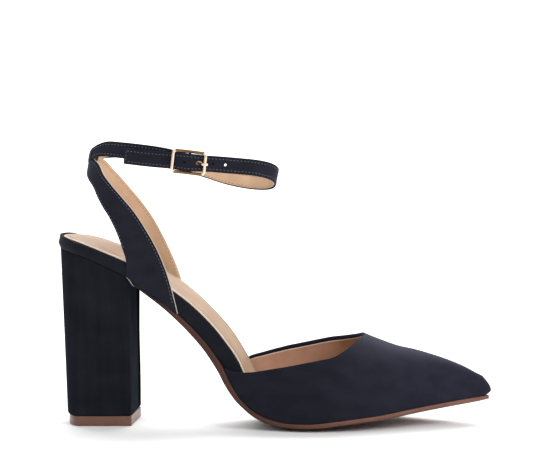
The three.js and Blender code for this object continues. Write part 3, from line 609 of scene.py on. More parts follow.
# Painted shade: a dark bronze for the buckle's upper and lower bars, standing for the dark reflection they
# show
BRONZE_PAINTED_SHADE = metal("bronze_painted_shade", (0.2, 0.11, 0.05), (0.2, 0.36))
NAVY_THREAD = thread("grey_thread", (0.07, 0.075, 0.098))
GATHER_EDGE = thread("grey_cut_edge", (0.21, 0.185, 0.18))
TAN_THREAD = thread("tan_thread", (0.27, 0.155, 0.09))


# Camera, light and floor

CAMERA_AZIMUTH, CAMERA_ELEVATION, CAMERA_ROLL = 6.5, 6.0, -0.5
CAMERA_DISTANCE = 2600
CAMERA_TARGET = (0.905, 0, 107.6)
MM_PER_PIXEL = 0.5403
IMAGE_WIDTH = 550
SENSOR = 36


def add_camera():
    a, e, roll = radians(CAMERA_AZIMUTH), radians(CAMERA_ELEVATION), radians(CAMERA_ROLL)
    back = Vector((sin(a) * cos(e), -cos(a) * cos(e), sin(e)))
    right = Vector((cos(a), sin(a), 0))
    up = back.cross(right)
    rolled_right = right * cos(roll) + up * sin(roll)
    rolled_up = up * cos(roll) - right * sin(roll)
    data = bpy.data.cameras.new("camera")
    data.sensor_width = SENSOR
    data.lens = SENSOR * CAMERA_DISTANCE / (MM_PER_PIXEL * IMAGE_WIDTH)
    data.clip_start, data.clip_end = 0.1, 50
    camera = linked("camera", data)
    axes = Matrix((rolled_right, rolled_up, back)).transposed()
    place = (Vector(CAMERA_TARGET) + back * CAMERA_DISTANCE) / 1000
    camera.matrix_world = Matrix.Translation(place) @ axes.to_4x4()
    scene.camera = camera


def add_light(name, place, aim, power, size):
    data = bpy.data.lights.new(name, "AREA")
    data.energy = power
    data.shape = "RECTANGLE"
    data.size, data.size_y = size
    light = linked(name, data)
    light.location = place
    light.rotation_mode = "QUATERNION"
    light.rotation_quaternion = (Vector(place) - Vector(aim)).to_track_quat("Z", "Y")


def add_studio():
    world = bpy.data.worlds.new("studio")
    world.use_nodes = True
    background = world.node_tree.nodes["Background"]
    background.inputs["Color"].default_value = (1, 1, 1, 1)
    background.inputs["Strength"].default_value = 0.62
    scene.world = world
    scene.view_settings.view_transform = "Standard"
    add_light("back", (0, 2.6, 2.8), (0, 0.9, 0), 215, (5, 2.5))
    add_light("right", (1.05, -0.95, 0.95), (0.06, 0, 0.04), 13, (0.7, 0.9))
    add_light("front", (-0.4, -1.6, 1.1), (0, 0, 0.08), 5, (1.0, 0.8))
    floor, reach = bpy.data.meshes.new("floor"), 6
    corners = ((-1, -1), (1, -1), (1, 1), (-1, 1))
    floor.from_pydata([(reach * x, reach * y, 0) for x, y in corners], [], [(0, 1, 2, 3)])
    m = Nodes("pale_floor")
    m.link(m.ramp(m.noise(40, 2), [(0.3, 0.9), (0.7, 0.93)]), "Base Color")
    m.set("Roughness", 0.7)
    floor.materials.append(m.material)
    linked("floor", floor)


add_camera()
add_studio()


# Outsole, board and insole

def add_outsole():
    crown = 0.6
    to_edge = [crown, 0.66, 0.73, 0.8, 0.87, 0.93]
    shares = [-share for share in reversed(to_edge)] + [-0.3, 0, 0.3] + to_edge
    back = HEEL_BREAST_X + OUTSOLE_EDGE + GAP
    places = [mix(back, TOE_TIP_X - TOE_ROUND, i / 110) for i in range(111)]
    places += [TOE_TIP_X - TOE_ROUND * (1 - cos(i / 12 * pi / 2)) for i in reversed(range(12))]
    layers = [(0.85, -1.0), (0.35, -0.96), (0.1, -0.85), (0.0, -0.6), (-0.05, -0.4), (0.02, -0.18),
              (0.15, -0.06), (0.5, 0.0)]
    rings = []
    for x in places:
        depth = OUTSOLE_EDGE * outsole_share(share_at(x))
        tread = (TREAD_DEPTH + TREAD_FLAT) * tread_share(share_at(x))
        low, high = edge_y(x, -1, 0), edge_y(x, 1, 0)
        middle, half = (low + high) / 2, (high - low) / 2
        outer, inner = [[on_sole(x, middle + side * max(0, half - into), share * depth)
                         for into, share in layers] for side in (-1, 1)]
        below = []
        for share in shares:
            round_off = sin(min(1, (1 - abs(share)) / (1 - crown)) * pi / 2)
            p = on_sole(x, middle + share * max(0, half - layers[0][0]), -depth - tread * round_off)
            p.z = max(p.z, 0)
            below.append(p)
        flat = max(0, half - layers[-1][0])
        above = [on_sole(x, middle + share * flat, 0) for share in (0.6, 0, -0.6)]
        rings.append(below + inner + above + outer[::-1])
    points = [p for ring in rings for p in ring]
    new_piece("sole", points, tube_faces(len(rings), len(rings[0])), [SOLE], "outsole")


def add_board():
    """The board in its wrapping: a soft bulge at the sides, and a low lip round the seat's back."""
    turned, bulge, lip_height = 0.7, 0.8, 1.35
    top = lambda x: seat_top(x) - INSOLE - GAP
    layers = [(0.7, GAP), (0.25, GAP + 0.02), (0.04, GAP + 0.25), (-0.02, GAP + turned)]
    proud = lambda x, s: -sin(pi * s) * mix(bulge, 0.1, smooth(x, HEEL_BACK_X + 4, HEEL_BREAST_X))
    layers += [(lambda x, s=s: proud(x, s), lambda x, s=s: mix(GAP + turned, top(x) - turned, s))
               for s in (0.12, 0.25, 0.4, 0.55, 0.7, 0.85)]
    lip = lambda x: lip_height * (1 - smooth(x, HEEL_BACK_X + 3, HEEL_BACK_X + 12))
    layers += [(0.0, lambda x: top(x) - turned + lip(x)), (0.06, lambda x: top(x) - 0.32 + lip(x)),
               (0.25, lambda x: top(x) - 0.06 + lip(x)), (0.55, lambda x: top(x) + 0.03 + lip(x)),
               (1.2, lambda x: top(x) + 0.9 * lip(x)), (1.7, top)]
    toe = TOE_TIP_X - TOE_INSET * board_edge(TOE_TIP_X)
    places = spread(HEEL_BACK_X + BOARD_INSET, toe, HEEL_ROUND, TOE_ROUND, 20, 110)
    points, faces = slab(places, board_edge, layers, lambda x, s: 0, lambda x, s: 0, 4)
    new_piece("wrapped_board", points, faces, [BOARD_SUEDE], "insole_board")


def add_insole():
    """The sock: a rolled edge, a pressed groove all round, and a soft cushion inside it."""
    inset = lambda x: (board_edge(x) + INSOLE_INSET
                       + 1.3 * (1 - smooth(x, HEEL_BACK_X + 5, HEEL_BACK_X + 18)))
    top = lambda x: seat_top(x) - 0.3 * (1 - smooth(x, HEEL_BACK_X, HEEL_BACK_X + 24))
    deep = 0.42
    rim = [(0.3, INSOLE), (0.0, 0.6), (0.0, 0.42), (0.12, 0.2), (0.4, 0.05)]
    groove = [(0.9, 0), (1.3, 0), (1.7, 0.6), (2.3, 1), (3.1, 0.55), (3.9, 0)]
    layers = [(into, lambda x, down=down: top(x) - down) for into, down in rim]
    layers += [(lambda x, into=into: into * (1 - 0.5 * smooth(x, 20, 80)),
                lambda x, share=share: top(x) - share * deep) for into, share in groove]
    toe = TOE_TIP_X - TOE_INSET * inset(TOE_TIP_X)
    places = spread(HEEL_BACK_X + inset(HEEL_BACK_X), toe, HEEL_ROUND, TOE_ROUND, 20, 110)
    cushion = lambda x, s: 0.28 * (1 - s**4) * smooth(x, HEEL_BACK_X, HEEL_BACK_X + 12)
    points, faces = slab(places, inset, layers, lambda x, s: 0, cushion, 14)
    ring = 2 * len(places) - 2
    rows = [1 if row < 6 else 2 if row > 7 else 0 for row in range(len(layers) - 1)]
    indices = [row for row in rows for _ in range(ring)]
    indices += [0] * (len(faces) - len(indices))
    sock = new_piece("sock", points, faces, [SOCK, SOCK_RIM, SOCK_GROOVE], "insole", indices, 80)


# Heel and top piece

def heel_base(share, side, inset):
    back = HEEL_BACK_X + HEEL_BACKSET + inset
    front = HEEL_BACK_X + HEEL_BACKSET + HEEL_BASE_LENGTH
    narrow = mix(1, HEEL_BASE_TAPER, smooth(share, 0.5, 1))
    y = side * (HEEL_BASE_WIDTH / 2 - inset) * quarter(share / HEEL_BASE_ROUND) * narrow
    return Vector((mix(back, front, share), y))


def rounded_outline(edge, corner):
    """An outline that runs round the back, with its two breast corners rounded off. edge(share, side)
    gives its points; the list starts at the back and runs over the outer side to the breast."""
    across, steps, turns = 18, 26, 6
    shares = [1 - cos(i / steps * pi / 2) for i in range(steps + 1)]
    sides = {}
    for side in (-1, 1):
        run = [edge(share, side) for share in shares]
        tip, before = run[-1], run[-2]
        breast = Vector((0, -side))
        back = (before - tip).normalized()
        arc = []
        for k in range(turns + 1):
            t = k / turns
            a, b = tip + back * corner, tip + breast * corner
            arc.append(a * (1 - t) ** 2 + tip * 2 * t * (1 - t) + b * t * t)
        run = [p for p in run[:-1] if (tip - p).length > 1.4 * corner] + arc
        sides[side] = run
    kept = min(len(sides[-1]), len(sides[1]))
    outer, inner = sides[-1][-kept:], sides[1][-kept:]
    face = [outer[-1].lerp(inner[-1], k / across) for k in range(1, across)]
    return outer + face + inner[::-1][:-1]


def heel_folds(p, level):
    """Soft upright folds of the cover over the breast and its corners, in millimetres outwards."""
    fade = smooth(level, 0.02, 0.2) * (1 - smooth(level, 0.8, 0.98))
    from_corner = abs(abs(p.y) - 15.5)
    ridge = 0.3 * math.exp(-((from_corner / 2.2) ** 2)) * smooth(p.x, HEEL_BREAST_X - 3, HEEL_BREAST_X)
    wave = 0.2 * sin(p.y * 0.75 + 3.6 * level + 0.6) * smooth(p.x, HEEL_BREAST_X - 2, HEEL_BREAST_X)
    return fade * (ridge + wave)


def add_heel():
    bottom = TOP_PIECE + GAP
    levels = [0, 0.004, 0.01, 0.02] + [mix(0.03, 0.985, i / 54) for i in range(55)] + [0.993, 1]
    base = rounded_outline(lambda s, side: heel_base(s, side, 0), HEEL_CORNER_ROUND)
    back = HEEL_BACK_X + HEEL_TOP_INSET

    def top_edge(share, side):
        x = mix(back, HEEL_BREAST_X, share)
        return Vector((x, edge_y(x, side, HEEL_TOP_INSET)))

    top = rounded_outline(top_edge, HEEL_CORNER_ROUND)
    count = len(base)
    points = []
    for level in levels:
        turned = 0.55 * (1 - quarter(min(1, level / 0.012)))
        ring = [base[i].lerp(top[i], level) for i in range(count)]
        for i, p in enumerate(ring):
            along = ring[(i + 1) % count] - ring[i - 1]
            outward = Vector((along.y, -along.x)).normalized()
            q = p + outward * (heel_folds(p, level) - turned)
            height = mix(bottom, sole_z(top[i].x) - 0.05, level)
            points.append((q.x, q.y, height))
    faces = tube_faces(len(levels), count)
    # Painted shade: the faces at the breast's far corner take the darkened cover
    shade_from = edge_y(HEEL_BREAST_X, 1, 0) - HEEL_CORNER_SHADE_WIDTH
    dark = [1 if p.x > HEEL_BREAST_X - 1.2 and p.y > shade_from else 0 for p in top]
    indices = dark * (len(levels) - 1) + [0, 0]
    new_piece("heel_cover", points, faces, [HEEL_SUEDE, HEEL_CORNER_SHADE], "heel", indices, 70)


def add_top_piece():
    layers = [(0.75, 0.0), (0.3, 0.04), (0.08, 0.2), (0.0, 0.5), (0.0, 2.6), (0.0, TOP_PIECE - 0.35),
              (0.08, TOP_PIECE - 0.1), (0.3, TOP_PIECE)]
    base = rounded_outline(lambda s, side: heel_base(s, side, TOP_PIECE_INSET), 0.7)
    count = len(base)
    points = []
    for into, z in layers:
        for i, p in enumerate(base):
            along = base[(i + 1) % count] - base[i - 1]
            q = p - Vector((along.y, -along.x)).normalized() * into
            points.append((q.x, q.y, z))
    new_piece("heel_tip", points, tube_faces(len(layers), count), [TIP], "top_piece")


# Vamp

def arch_point(x, side, turn, inset, rise):
    half = abs(edge_y(x, side, VAMP_INSET + inset) - middle_y(x))
    arch = INSTEP_HEIGHT * arch_share(share_at(x))
    height = mix(NOSE_HEIGHT, arch, quarter((VAMP_TIP_X - x) / NOSE_ROUND))
    out = max(0, cos(radians(turn))) ** (2 / ARCH_POWER)
    up = max(0, sin(radians(turn))) ** (2 / ARCH_POWER)
    bulge = SIDE_BULGE * sin(pi * up) * min(1, 2 * half / BALL_WIDTH)
    base = sole_z(x) + GAP * hypot(1, sole_slope(x))
    reach = (TOE_TIP_X + NOSE_OVERHANG - VAMP_TIP_X) * smooth(x, VAMP_TIP_X - 3 * NOSE_ROUND, VAMP_TIP_X)
    return Vector((x + reach * sin(pi * up), middle_y(x) + side * (half * out + bulge),
                   base + (height - rise) * up))


def inside_place(x):
    return mix(x, x - VAMP_TIP_X + HOLLOW_TIP_X, smooth(x, THROAT_X, VAMP_TIP_X))


def wall_point(x, side, turn, depth):
    """A point in the vamp's wall, from its outer face (0) to its inner face (1)."""
    outer = arch_point(x, side, turn, 0, 0)
    within = inside_place(x)
    slope = INSTEP_HEIGHT * (arch_share(share_at(within)) - arch_share(share_at(within + 1)))
    inner = arch_point(within, side, turn, VAMP_WALL, VAMP_WALL * hypot(1, slope))
    return outer.lerp(inner, depth)


def top_turn(x, side):
    back = math.sqrt(max(0, THROAT_X - x) / (THROAT_X - VAMP_BACK_X))
    return top_outer(back) if side < 0 else top_inner(back)


def turn_length(x, side, top):
    """How far a degree of the arch reaches inside the topline, in millimetres."""
    below = wall_point(x, side, max(0, top - 2), 1)
    return max(0.001, (wall_point(x, side, top, 1) - below).length / 2)


def add_vamp():
    back_steps, front_steps, up_steps = 70, 80, 36
    reach = THROAT_X - VAMP_BACK_X
    places = [THROAT_X - reach * (i / back_steps) ** 2 for i in range(back_steps, 0, -1)]
    places += [mix(THROAT_X, VAMP_TIP_X, sin(i / front_steps * pi / 2)) for i in range(front_steps + 1)]
    fold = 1.7
    points, faces = [], []
    for side in (-1, 1):
        start = len(points)
        for x in places:
            top = top_turn(x, side)
            points += [wall_point(x, side, top * j / up_steps, 0 if j else 0.02) for j in range(up_steps + 1)]
        faces += grid_faces(len(places), up_steps + 1, False, start)
    # The turned-in edge: over the topline and a little way down inside
    for side in (-1, 1):
        start = len(points)
        for x in places[:back_steps + 1]:
            top = top_turn(x, side)
            down = min(top, fold / turn_length(x, side, top))
            points.append(wall_point(x, side, top, 0))
            for k in range(1, 6):
                lift = Vector((0, 0, 0.28 * sin(pi * k / 6)))
                points.append(wall_point(x, side, top, 0.75 * k / 6) + lift)
            for k in range(5):
                points.append(wall_point(x, side, top - down * k / 4, 0.78 + 0.04 * sin(pi * k / 4)))
            points.append(wall_point(x, side, top - down, 0.5))
        faces += grid_faces(back_steps + 1, 12, False, start)
    new_piece("vamp_cover", points, faces, [VAMP_SUEDE_PAINTED_LIGHT], "vamp", sharp=75)
    # The lining: a second skin inside, with its own edge just under the fold
    points, faces = [], []
    for side in (-1, 1):
        start = len(points)
        for x in places:
            top = top_turn(x, side)
            drop = turn_length(x, side, top)
            high = top - min(top, 0.8 * fold / drop) * (1 - smooth(x, THROAT_X - 0.6, THROAT_X))
            points.append(wall_point(x, side, high, 0.55))
            points.append(wall_point(x, side, high, 0.94))
            points.append(wall_point(x, side, max(0, high - 0.3), 1.0))
            for j in range(up_steps, -1, -1):
                points.append(wall_point(x, side, max(0, high - 0.3 - 0.15 / drop) * j / up_steps, 1.0))
            points.append(wall_point(x, side, 0, 0.55))
        columns = up_steps + 5
        faces += grid_faces(len(places), columns, False, start)
    strips = [1 if c < 2 else 0 for c in range(columns - 1)]
    indices = strips * (2 * (len(places) - 1))
    new_piece("vamp_lining", points, faces, [VAMP_LINING, LINING_EDGE], "vamp", indices, 75)


# Straps

def ankle_at(turn, out):
    s, c = sin(radians(turn)), cos(radians(turn))
    a, b = LOOP_LENGTH / 2, LOOP_WIDTH / 2
    normal = Vector((-c / a, -s / b)).normalized()
    return Vector((LOOP_MIDDLE_X - a * c, -b * s)) + normal * out


def sling_point(turn, height, side, is_foot=False):
    down = min(SLING_LEAN_DEPTH, max(0, STRAP_HEIGHT - height))
    lean = SLING_LEAN * down + SLING_ROUND * sin(pi * down / SLING_LEAN_DEPTH) - SLING_SINK
    loop = ankle_at(turn, lean)
    slope = sole_slope(loop.x)
    z = sole_z(loop.x) + GAP * hypot(1, slope) if is_foot else height
    beside_seat = min(z - sole_z(loop.x), SLING_SEAT)
    station = loop.x + beside_seat * slope / (1 + slope * slope)
    foot = abs(edge_y(station, side, BOARD_INSET)) + BOARD_INSET + SLING_PROUD - STRAP / 2
    up = (z - sole_z(loop.x)) / (STRAP_HEIGHT - sole_z(loop.x))
    out = mix(foot, abs(loop.y), smooth(up, 0.2, 0.85))
    return Vector((loop.x, side * (out + SLING_BULGE * sin(pi * smooth(up, 0.14, 1))), z))


def sling_sheet(steps, across):
    """Rows of points from the outer leg's foot, round the back, to the inner leg's foot."""
    def half(side):
        rows = []
        for i in range(steps + 1):
            station = i / steps * (len(SLING_EDGES) - 1)
            high_turn = (sling_outer if side < 0 else sling_inner)(station)
            row = []
            for j in range(across + 1):
                turn = mix(sling_low_turn(station), high_turn, j / across)
                height = mix(sling_low(station), sling_high(station), j / across) * STRAP_HEIGHT
                row.append(sling_point(turn, height, side, i == 0))
            rows.append(row)
        return rows

    return half(-1) + half(1)[::-1][1:]


def strap_z(turn):
    return STRAP_HEIGHT * strap_lift(-turn)


BUCKLE_SPEED = (ankle_at(BUCKLE_TURN + 0.5, 0) - ankle_at(BUCKLE_TURN - 0.5, 0)).length
BUCKLE_LIFT = STRAP / 2 + GAP + CENTRE_BAR / 2 + 0.1
FOLD_RADIUS = CENTRE_BAR / 2 + GAP + FOLD / 2
OVER_FOLD = BUCKLE_LIFT + FOLD_RADIUS + FOLD / 2 + GAP + STRAP / 2 + 0.15
OVER_STRAP = STRAP + GAP
HALF_BUCKLE = (BUCKLE_LENGTH - BUCKLE_BAR) / 2
BUCKLE_RISE = 3.6
BUCKLE_GIRTH = 1.7
# The two ends of the fold round the centre bar: along it in shares of its length, then its stand-off and
# thickness, in shares of the fold's radius and thickness at its start and in millimetres at its end
FOLD_START = ((-1, 0.45, 0.6), (-0.55, 0.85, 0.9))
FOLD_END = ((-0.7, 0.18, 1.25 * FOLD), (-1.7, 0, 0.95 * STRAP))


def turn_at(along):
    return BUCKLE_TURN + along / BUCKLE_SPEED


def weave_out(along):
    share = along / HALF_BUCKLE
    return OVER_STRAP * weave_over(share) + (OVER_FOLD - OVER_STRAP) * weave_fold(share)


def at_buckle(along, out, up):
    ahead = (ankle_at(BUCKLE_TURN + 1, 0) - ankle_at(BUCKLE_TURN - 1, 0)).normalized()
    centre = ankle_at(BUCKLE_TURN, 0)
    tilt = radians(BUCKLE_TILT)
    run = along * cos(tilt) + up * sin(tilt)
    rise = up * cos(tilt) - along * sin(tilt)
    return Vector((centre.x + ahead.x * run + ahead.y * out, centre.y + ahead.y * run - ahead.x * out,
                   strap_z(BUCKLE_TURN) + rise))


def ankle_row(turn, out, shares):
    away = abs(turn + (360 if turn < 0 else 0) - BUCKLE_TURN) * BUCKLE_SPEED
    skew = tan(radians(BUCKLE_TILT)) * (1 - smooth(away, 2 * HALF_BUCKLE, 4 * HALF_BUCKLE))
    row = []
    for share in shares:
        up = share * STRAP_WIDTH * strap_share(-turn)
        place = ankle_at(turn + up * skew / BUCKLE_SPEED, out)
        lean = up * STRAP_LEAN * cos(radians(turn)) ** 2
        row.append(Vector((place.x + lean, place.y, strap_z(turn) + up)))
    return row


def ankle_path():
    """Turn, stand-off and thickness along the ankle strap, from the fold to the free end."""
    round_steps, end_steps = 190, 90
    path = [(turn_at(FOLD_LENGTH * along), BUCKLE_LIFT + out * FOLD_RADIUS, thick * FOLD)
            for along, out, thick in FOLD_START]
    for i in range(11):
        angle = pi / 2 - i / 10 * pi
        path.append((turn_at(FOLD_RADIUS * cos(angle)), BUCKLE_LIFT + FOLD_RADIUS * sin(angle), FOLD))
    path += [(turn_at(FOLD_LENGTH * along), out, thick) for along, out, thick in FOLD_END]
    start, end = turn_at(-3.2 * FOLD_LENGTH), turn_at(2.8 * HALF_BUCKLE) - 360
    path += [(mix(start, end, i / round_steps), 0, STRAP) for i in range(round_steps + 1)]
    for i in range(1, end_steps + 1):
        turn = mix(end, FREE_END_TURN - 360, i / end_steps)
        path.append((turn, weave_out((turn + 360 - BUCKLE_TURN) * BUCKLE_SPEED), STRAP))
    return path


def normals_of(sheet):
    """The outward normal at each point of a sheet."""
    rows, width = len(sheet), len(sheet[0])
    all_normals = []
    for i, row in enumerate(sheet):
        before, after = sheet[max(i - 1, 0)], sheet[min(i + 1, rows - 1)]
        normals = []
        for j in range(width):
            across = row[min(j + 1, width - 1)] - row[max(j - 1, 0)]
            normals.append(across.cross(after[j] - before[j]).normalized())
        all_normals.append(normals)
    return all_normals


def strap_layer(name, sheet, thick, low, high, material, reach=(0, 0), round_by=0.2, cuts=()):
    """One layer of a strap, between two shares of its half thickness. Its lower and upper edges reach out
    by so much past the sheet's and are rounded. Each cutter in cuts takes a bite out of it."""
    rings = []
    for i, (row, normals) in enumerate(zip(sheet, normals_of(sheet))):
        half = thick(i) / 2
        out, into = high * half, low * half
        reaches = [r(i) if callable(r) else r for r in reach]
        down = (row[0] - row[1]).normalized()
        up = (row[-1] - row[-2]).normalized()
        inner = range(1, len(row) - 1)
        ring = [row[j] + normals[j] * out for j in inner]
        for edge, way, turn in ((-1, up, 1), (0, down, -1)):
            for k in range(5):
                angle = turn * (pi / 2 - k / 4 * pi)
                depth = mix(into, out, 0.5 + 0.5 * sin(angle))
                past = reaches[edge] - round_by * (1 - cos(angle))
                ring.append(row[edge] + way * past + normals[edge] * depth)
            if edge == -1:
                ring += [row[j] + normals[j] * into for j in reversed(inner)]
        rings.append(ring)
    points = [p for ring in rings for p in ring]
    piece = new_piece(name, points, tube_faces(len(rings), len(rings[0])), [material], "straps")
    for cutter in cuts:
        bite(piece, cutter)


def bite(piece, cutter):
    """Cut one mesh out of another."""
    change = piece.modifiers.new("cut", "BOOLEAN")
    change.object = cutter
    change.solver = "EXACT"
    shape = piece.evaluated_get(bpy.context.evaluated_depsgraph_get())
    mesh = bpy.data.meshes.new_from_object(shape)
    piece.modifiers.remove(change)
    piece.data = mesh
    mesh.set_sharp_from_angle(angle=radians(60))


def punch(along, size, stretch=0.0, low=-2 * STRAP):
    """A round cutter square to the strap, at a place on its free end; low is how deep it reaches."""
    turn = turn_at(along)
    centre = ankle_at(turn, weave_out(along))
    ahead = (ankle_at(turn + 1, 0) - ankle_at(turn - 1, 0)).normalized()
    place = Vector((centre.x, centre.y, strap_z(turn - 360)))
    forwards, out = Vector((ahead.x, ahead.y, 0)), Vector((ahead.y, -ahead.x, 0))
    points, sides = [], 20
    for level in (low, 2 * STRAP):
        for angle in round_angles(sides):
            run, rise = (size + stretch) / 2 * cos(angle), size / 2 * sin(angle)
            points.append(place + forwards * run + Vector((0, 0, rise)) + out * level)
    return linked("cutter", outward_mesh("cutter", points, tube_faces(2, sides)))


def prong_slot():
    """The cutter that gives the prong's eye its room in the fold."""
    radius, half = FOLD_RADIUS + FOLD / 2 + GAP, PRONG_WIDTH / 2 + SLOT_GAP
    sides = 24
    points = [at_buckle(radius * cos(angle), BUCKLE_LIFT + radius * sin(angle), level)
              for level in (-half, half) for angle in round_angles(sides)]
    return linked("cutter", outward_mesh("cutter", points, tube_faces(2, sides)))


def stitch_line(sheet, thick, from_edge, inset, share, first, last):
    """A line on a sheet's face, so far in from its lower (0) or upper (1) edge: places and normals."""
    line = []
    all_normals = normals_of(sheet)
    for i in range(first, last + 1):
        row, normals = sheet[i], all_normals[i]
        if from_edge:
            row, normals = row[::-1], normals[::-1]
        left = inset
        for j in range(len(row) - 1):
            step = (row[j + 1] - row[j]).length
            if left <= step:
                t = left / step
                normal = normals[j].lerp(normals[j + 1], t).normalized()
                place = row[j].lerp(row[j + 1], t)
                line.append((place + normal * (share * thick(i) / 2), normal * share))
                break
            left -= step
    return line


def stitches(lines, name, material, wide=0.36, proud=0.08):
    """Short threads along lines of places and normals, each a small bent bead."""
    pitch, long = 2.0, 1.1
    points, faces = [], []
    sides, rings = 6, [(-0.5, 0.35), (-0.42, 0.75), (-0.2, 1), (0.2, 1), (0.42, 0.75), (0.5, 0.35)]
    for line in lines:
        travelled, due = 0.0, pitch * 0.5
        for (p, n), (q, m) in zip(line, line[1:]):
            step = (q - p).length
            while step > 0 and travelled + step >= due:
                t = (due - travelled) / step
                spot, normal = p.lerp(q, t), n.lerp(m, t).normalized()
                along = (q - p).normalized()
                across = normal.cross(along).normalized()
                start = len(points)
                for shift, girth in rings:
                    middle = spot + along * (shift * long) + normal * (proud * (1 - 3.2 * shift * shift))
                    for angle in round_angles(sides):
                        points.append(middle + across * (wide / 2 * girth * cos(angle))
                                      + normal * (wide / 2 * 0.8 * girth * sin(angle)))
                faces += tube_faces(len(rings), sides, False, start)
                due += pitch
            travelled += step
    new_piece(name, points, faces, [material], "straps", sharp=180)


def add_straps():
    steps = 64
    sling = sling_sheet(steps, 12)
    rows = len(sling)
    thick = lambda i: STRAP
    from_foot = lambda i: min(i, rows - 1 - i) / steps
    proud = lambda i: 0.3 + 0.25 * (1 - smooth(from_foot(i), 0.05, 0.4))
    strap_layer("sling_cover", sling, thick, 0.1, 1.0, SUEDE, (0.1, 0.05))
    strap_layer("sling_edge", sling, thick, -0.4, 0.1, CUT_EDGE, (0, proud), 0.05)
    strap_layer("sling_lining", sling, thick, -1.0, -0.4, LINING, (0, 0.1), 0.12)

    path = ankle_path()
    shares = [-0.5, -0.4, -0.25, 0, 0.25, 0.4, 0.5]
    sheet = [ankle_row(turn, out, shares) for turn, out, _ in path]
    girth = lambda i: path[i][2]
    cuts = [prong_slot(), punch(PRONG_HOLE, PRONG_WIDTH + 0.5, PRONG_WIDTH),
            punch(PRONG_HOLE + 2 * HOLE_SPACING, HOLE)]
    blind = [punch(PRONG_HOLE + step * HOLE_SPACING, HOLE, low=0.15) for step in (-2, -1, 1)]
    strap_layer("ankle_cover", sheet, girth, -0.05, 1.0, SUEDE, (0.1, 0.1), 0.3, cuts + blind)
    strap_layer("ankle_lining", sheet, girth, -1.0, -0.05, LINING, (-0.7, -0.4), 0.12, cuts)
    for cutter in cuts + blind:
        bpy.data.objects.remove(cutter)

    from_edge, folded = 1.5, 16
    free = [i for i, (turn, _, _) in enumerate(path) if turn < FREE_END_TURN + 1.8 - 360][0]
    outside, inside = [], []
    for share, lines in ((1, outside), (-1, inside)):
        lines.append(stitch_line(sling, thick, 1, from_edge, share, 2, rows - 3))
        lines.append(stitch_line(sling, thick, 0, 1.2, share, 12, rows - 13))
        for edge in (0, 1):
            lines.append(stitch_line(sheet, girth, edge, from_edge, share, folded, free))
    end, normal = sheet[free], normals_of(sheet)[free][3]
    outside.append([(end[0].lerp(end[-1], t) + normal * STRAP / 2, normal) for t in (0.17, 0.4, 0.6, 0.83)])
    stitches(outside, "strap_stitches", NAVY_THREAD)
    stitches(inside, "lining_stitches", TAN_THREAD, wide=0.3, proud=0.04)


def add_back_loop():
    """The sling's top, turned over the ankle strap behind the heel like a short sleeve."""
    steps, sides = 20, 28
    points, faces = [], []
    for i in range(steps + 1):
        turn = BACK_LOOP_TURN * (1 - 2 * i / steps)
        low, middle, high = ankle_row(turn, 0, [-0.5, 0, 0.5])
        out = (ankle_at(turn, 1) - ankle_at(turn, 0)).to_3d().normalized()
        up = (high - low).normalized()
        half, deep = (high - low).length / 2 + 0.4, STRAP / 2 + 0.5
        for tall, thick in ((half, deep), (half - 0.35, deep - 0.45)):
            for angle in round_angles(sides):
                c, s = squared(angle, 3.5)
                points.append(middle + out * (thick * c) + up * (tall * s))
    count = 2 * sides
    for a in range(0, steps * count, count):
        for k in range(sides):
            j, b = (k + 1) % sides, a + count
            faces.append((a + k, a + j, b + j, b + k))
            faces.append((a + sides + k, a + sides + j, b + sides + j, b + sides + k))
    for a in (0, steps * count):
        for k in range(sides):
            j = (k + 1) % sides
            faces.append((a + k, a + j, a + sides + j, a + sides + k))
    new_piece("back_loop", points, faces, [SUEDE], "straps", sharp=50)


# The gather at the outer leg's foot: its middle, its half sizes, and the run of its cut edge, which has
# each point's distance out from the sling
GATHER_X, GATHER_Z = -74.3, 82.6
GATHER_SIZE = (1.5, 0.85, 1.2)
GATHER_EDGE_RUN = table("x out z", [
    (-77.0, 0.1, 81.7), (-76.3, 0.3, 81.2), (-75.4, 0.45, 80.3), (-74.7, 0.5, 79.3), (-74.1, 0.45, 78.2),
    (-73.5, 0.25, 77.3), (-72.9, 0.0, 76.6),
])


def add_foot_gather():
    """The small gathered knot where the outer leg's foot meets the heel's corner, and its cut edge."""
    face_y = edge_y(HEEL_BREAST_X, -1, BOARD_INSET) - BOARD_INSET - SLING_PROUD - 0.05
    centre = Vector((GATHER_X, face_y + 0.15, GATHER_Z))
    wide, deep, high = GATHER_SIZE
    points, rings, sides = [], 9, 22
    for r in range(1, rings):
        tall = pi * r / rings
        for angle in round_angles(sides):
            pucker = 1 + 0.14 * sin(5 * angle + 0.7) * sin(tall)
            points.append(centre + Vector((wide * pucker * sin(tall) * cos(angle), -deep * cos(tall),
                                           high * pucker * sin(tall) * sin(angle))))
    new_piece("foot_gather", points, tube_faces(rings - 1, sides), [SUEDE])
    path = [Vector((row["x"], face_y - row["out"], row["z"])) for row in GATHER_EDGE_RUN]
    points, outward, sides = [], Vector((0, 1, 0)), 10
    for i, place in enumerate(path):
        ahead = (path[min(i + 1, len(path) - 1)] - path[max(i - 1, 0)]).normalized()
        across = ahead.cross(outward).normalized()
        girth = 0.32 * sin(pi * (i + 0.6) / (len(path) + 0.2))
        points += [place + across * (girth * cos(angle)) + outward * (girth * sin(angle))
                   for angle in round_angles(sides)]
    new_piece("foot_gather_edge", points, tube_faces(len(path), sides), [GATHER_EDGE])


# Buckle and prong

def side_bar_out():
    return weave_out(HALF_BUCKLE) + STRAP / 2 + GAP + BUCKLE_BAR / 2


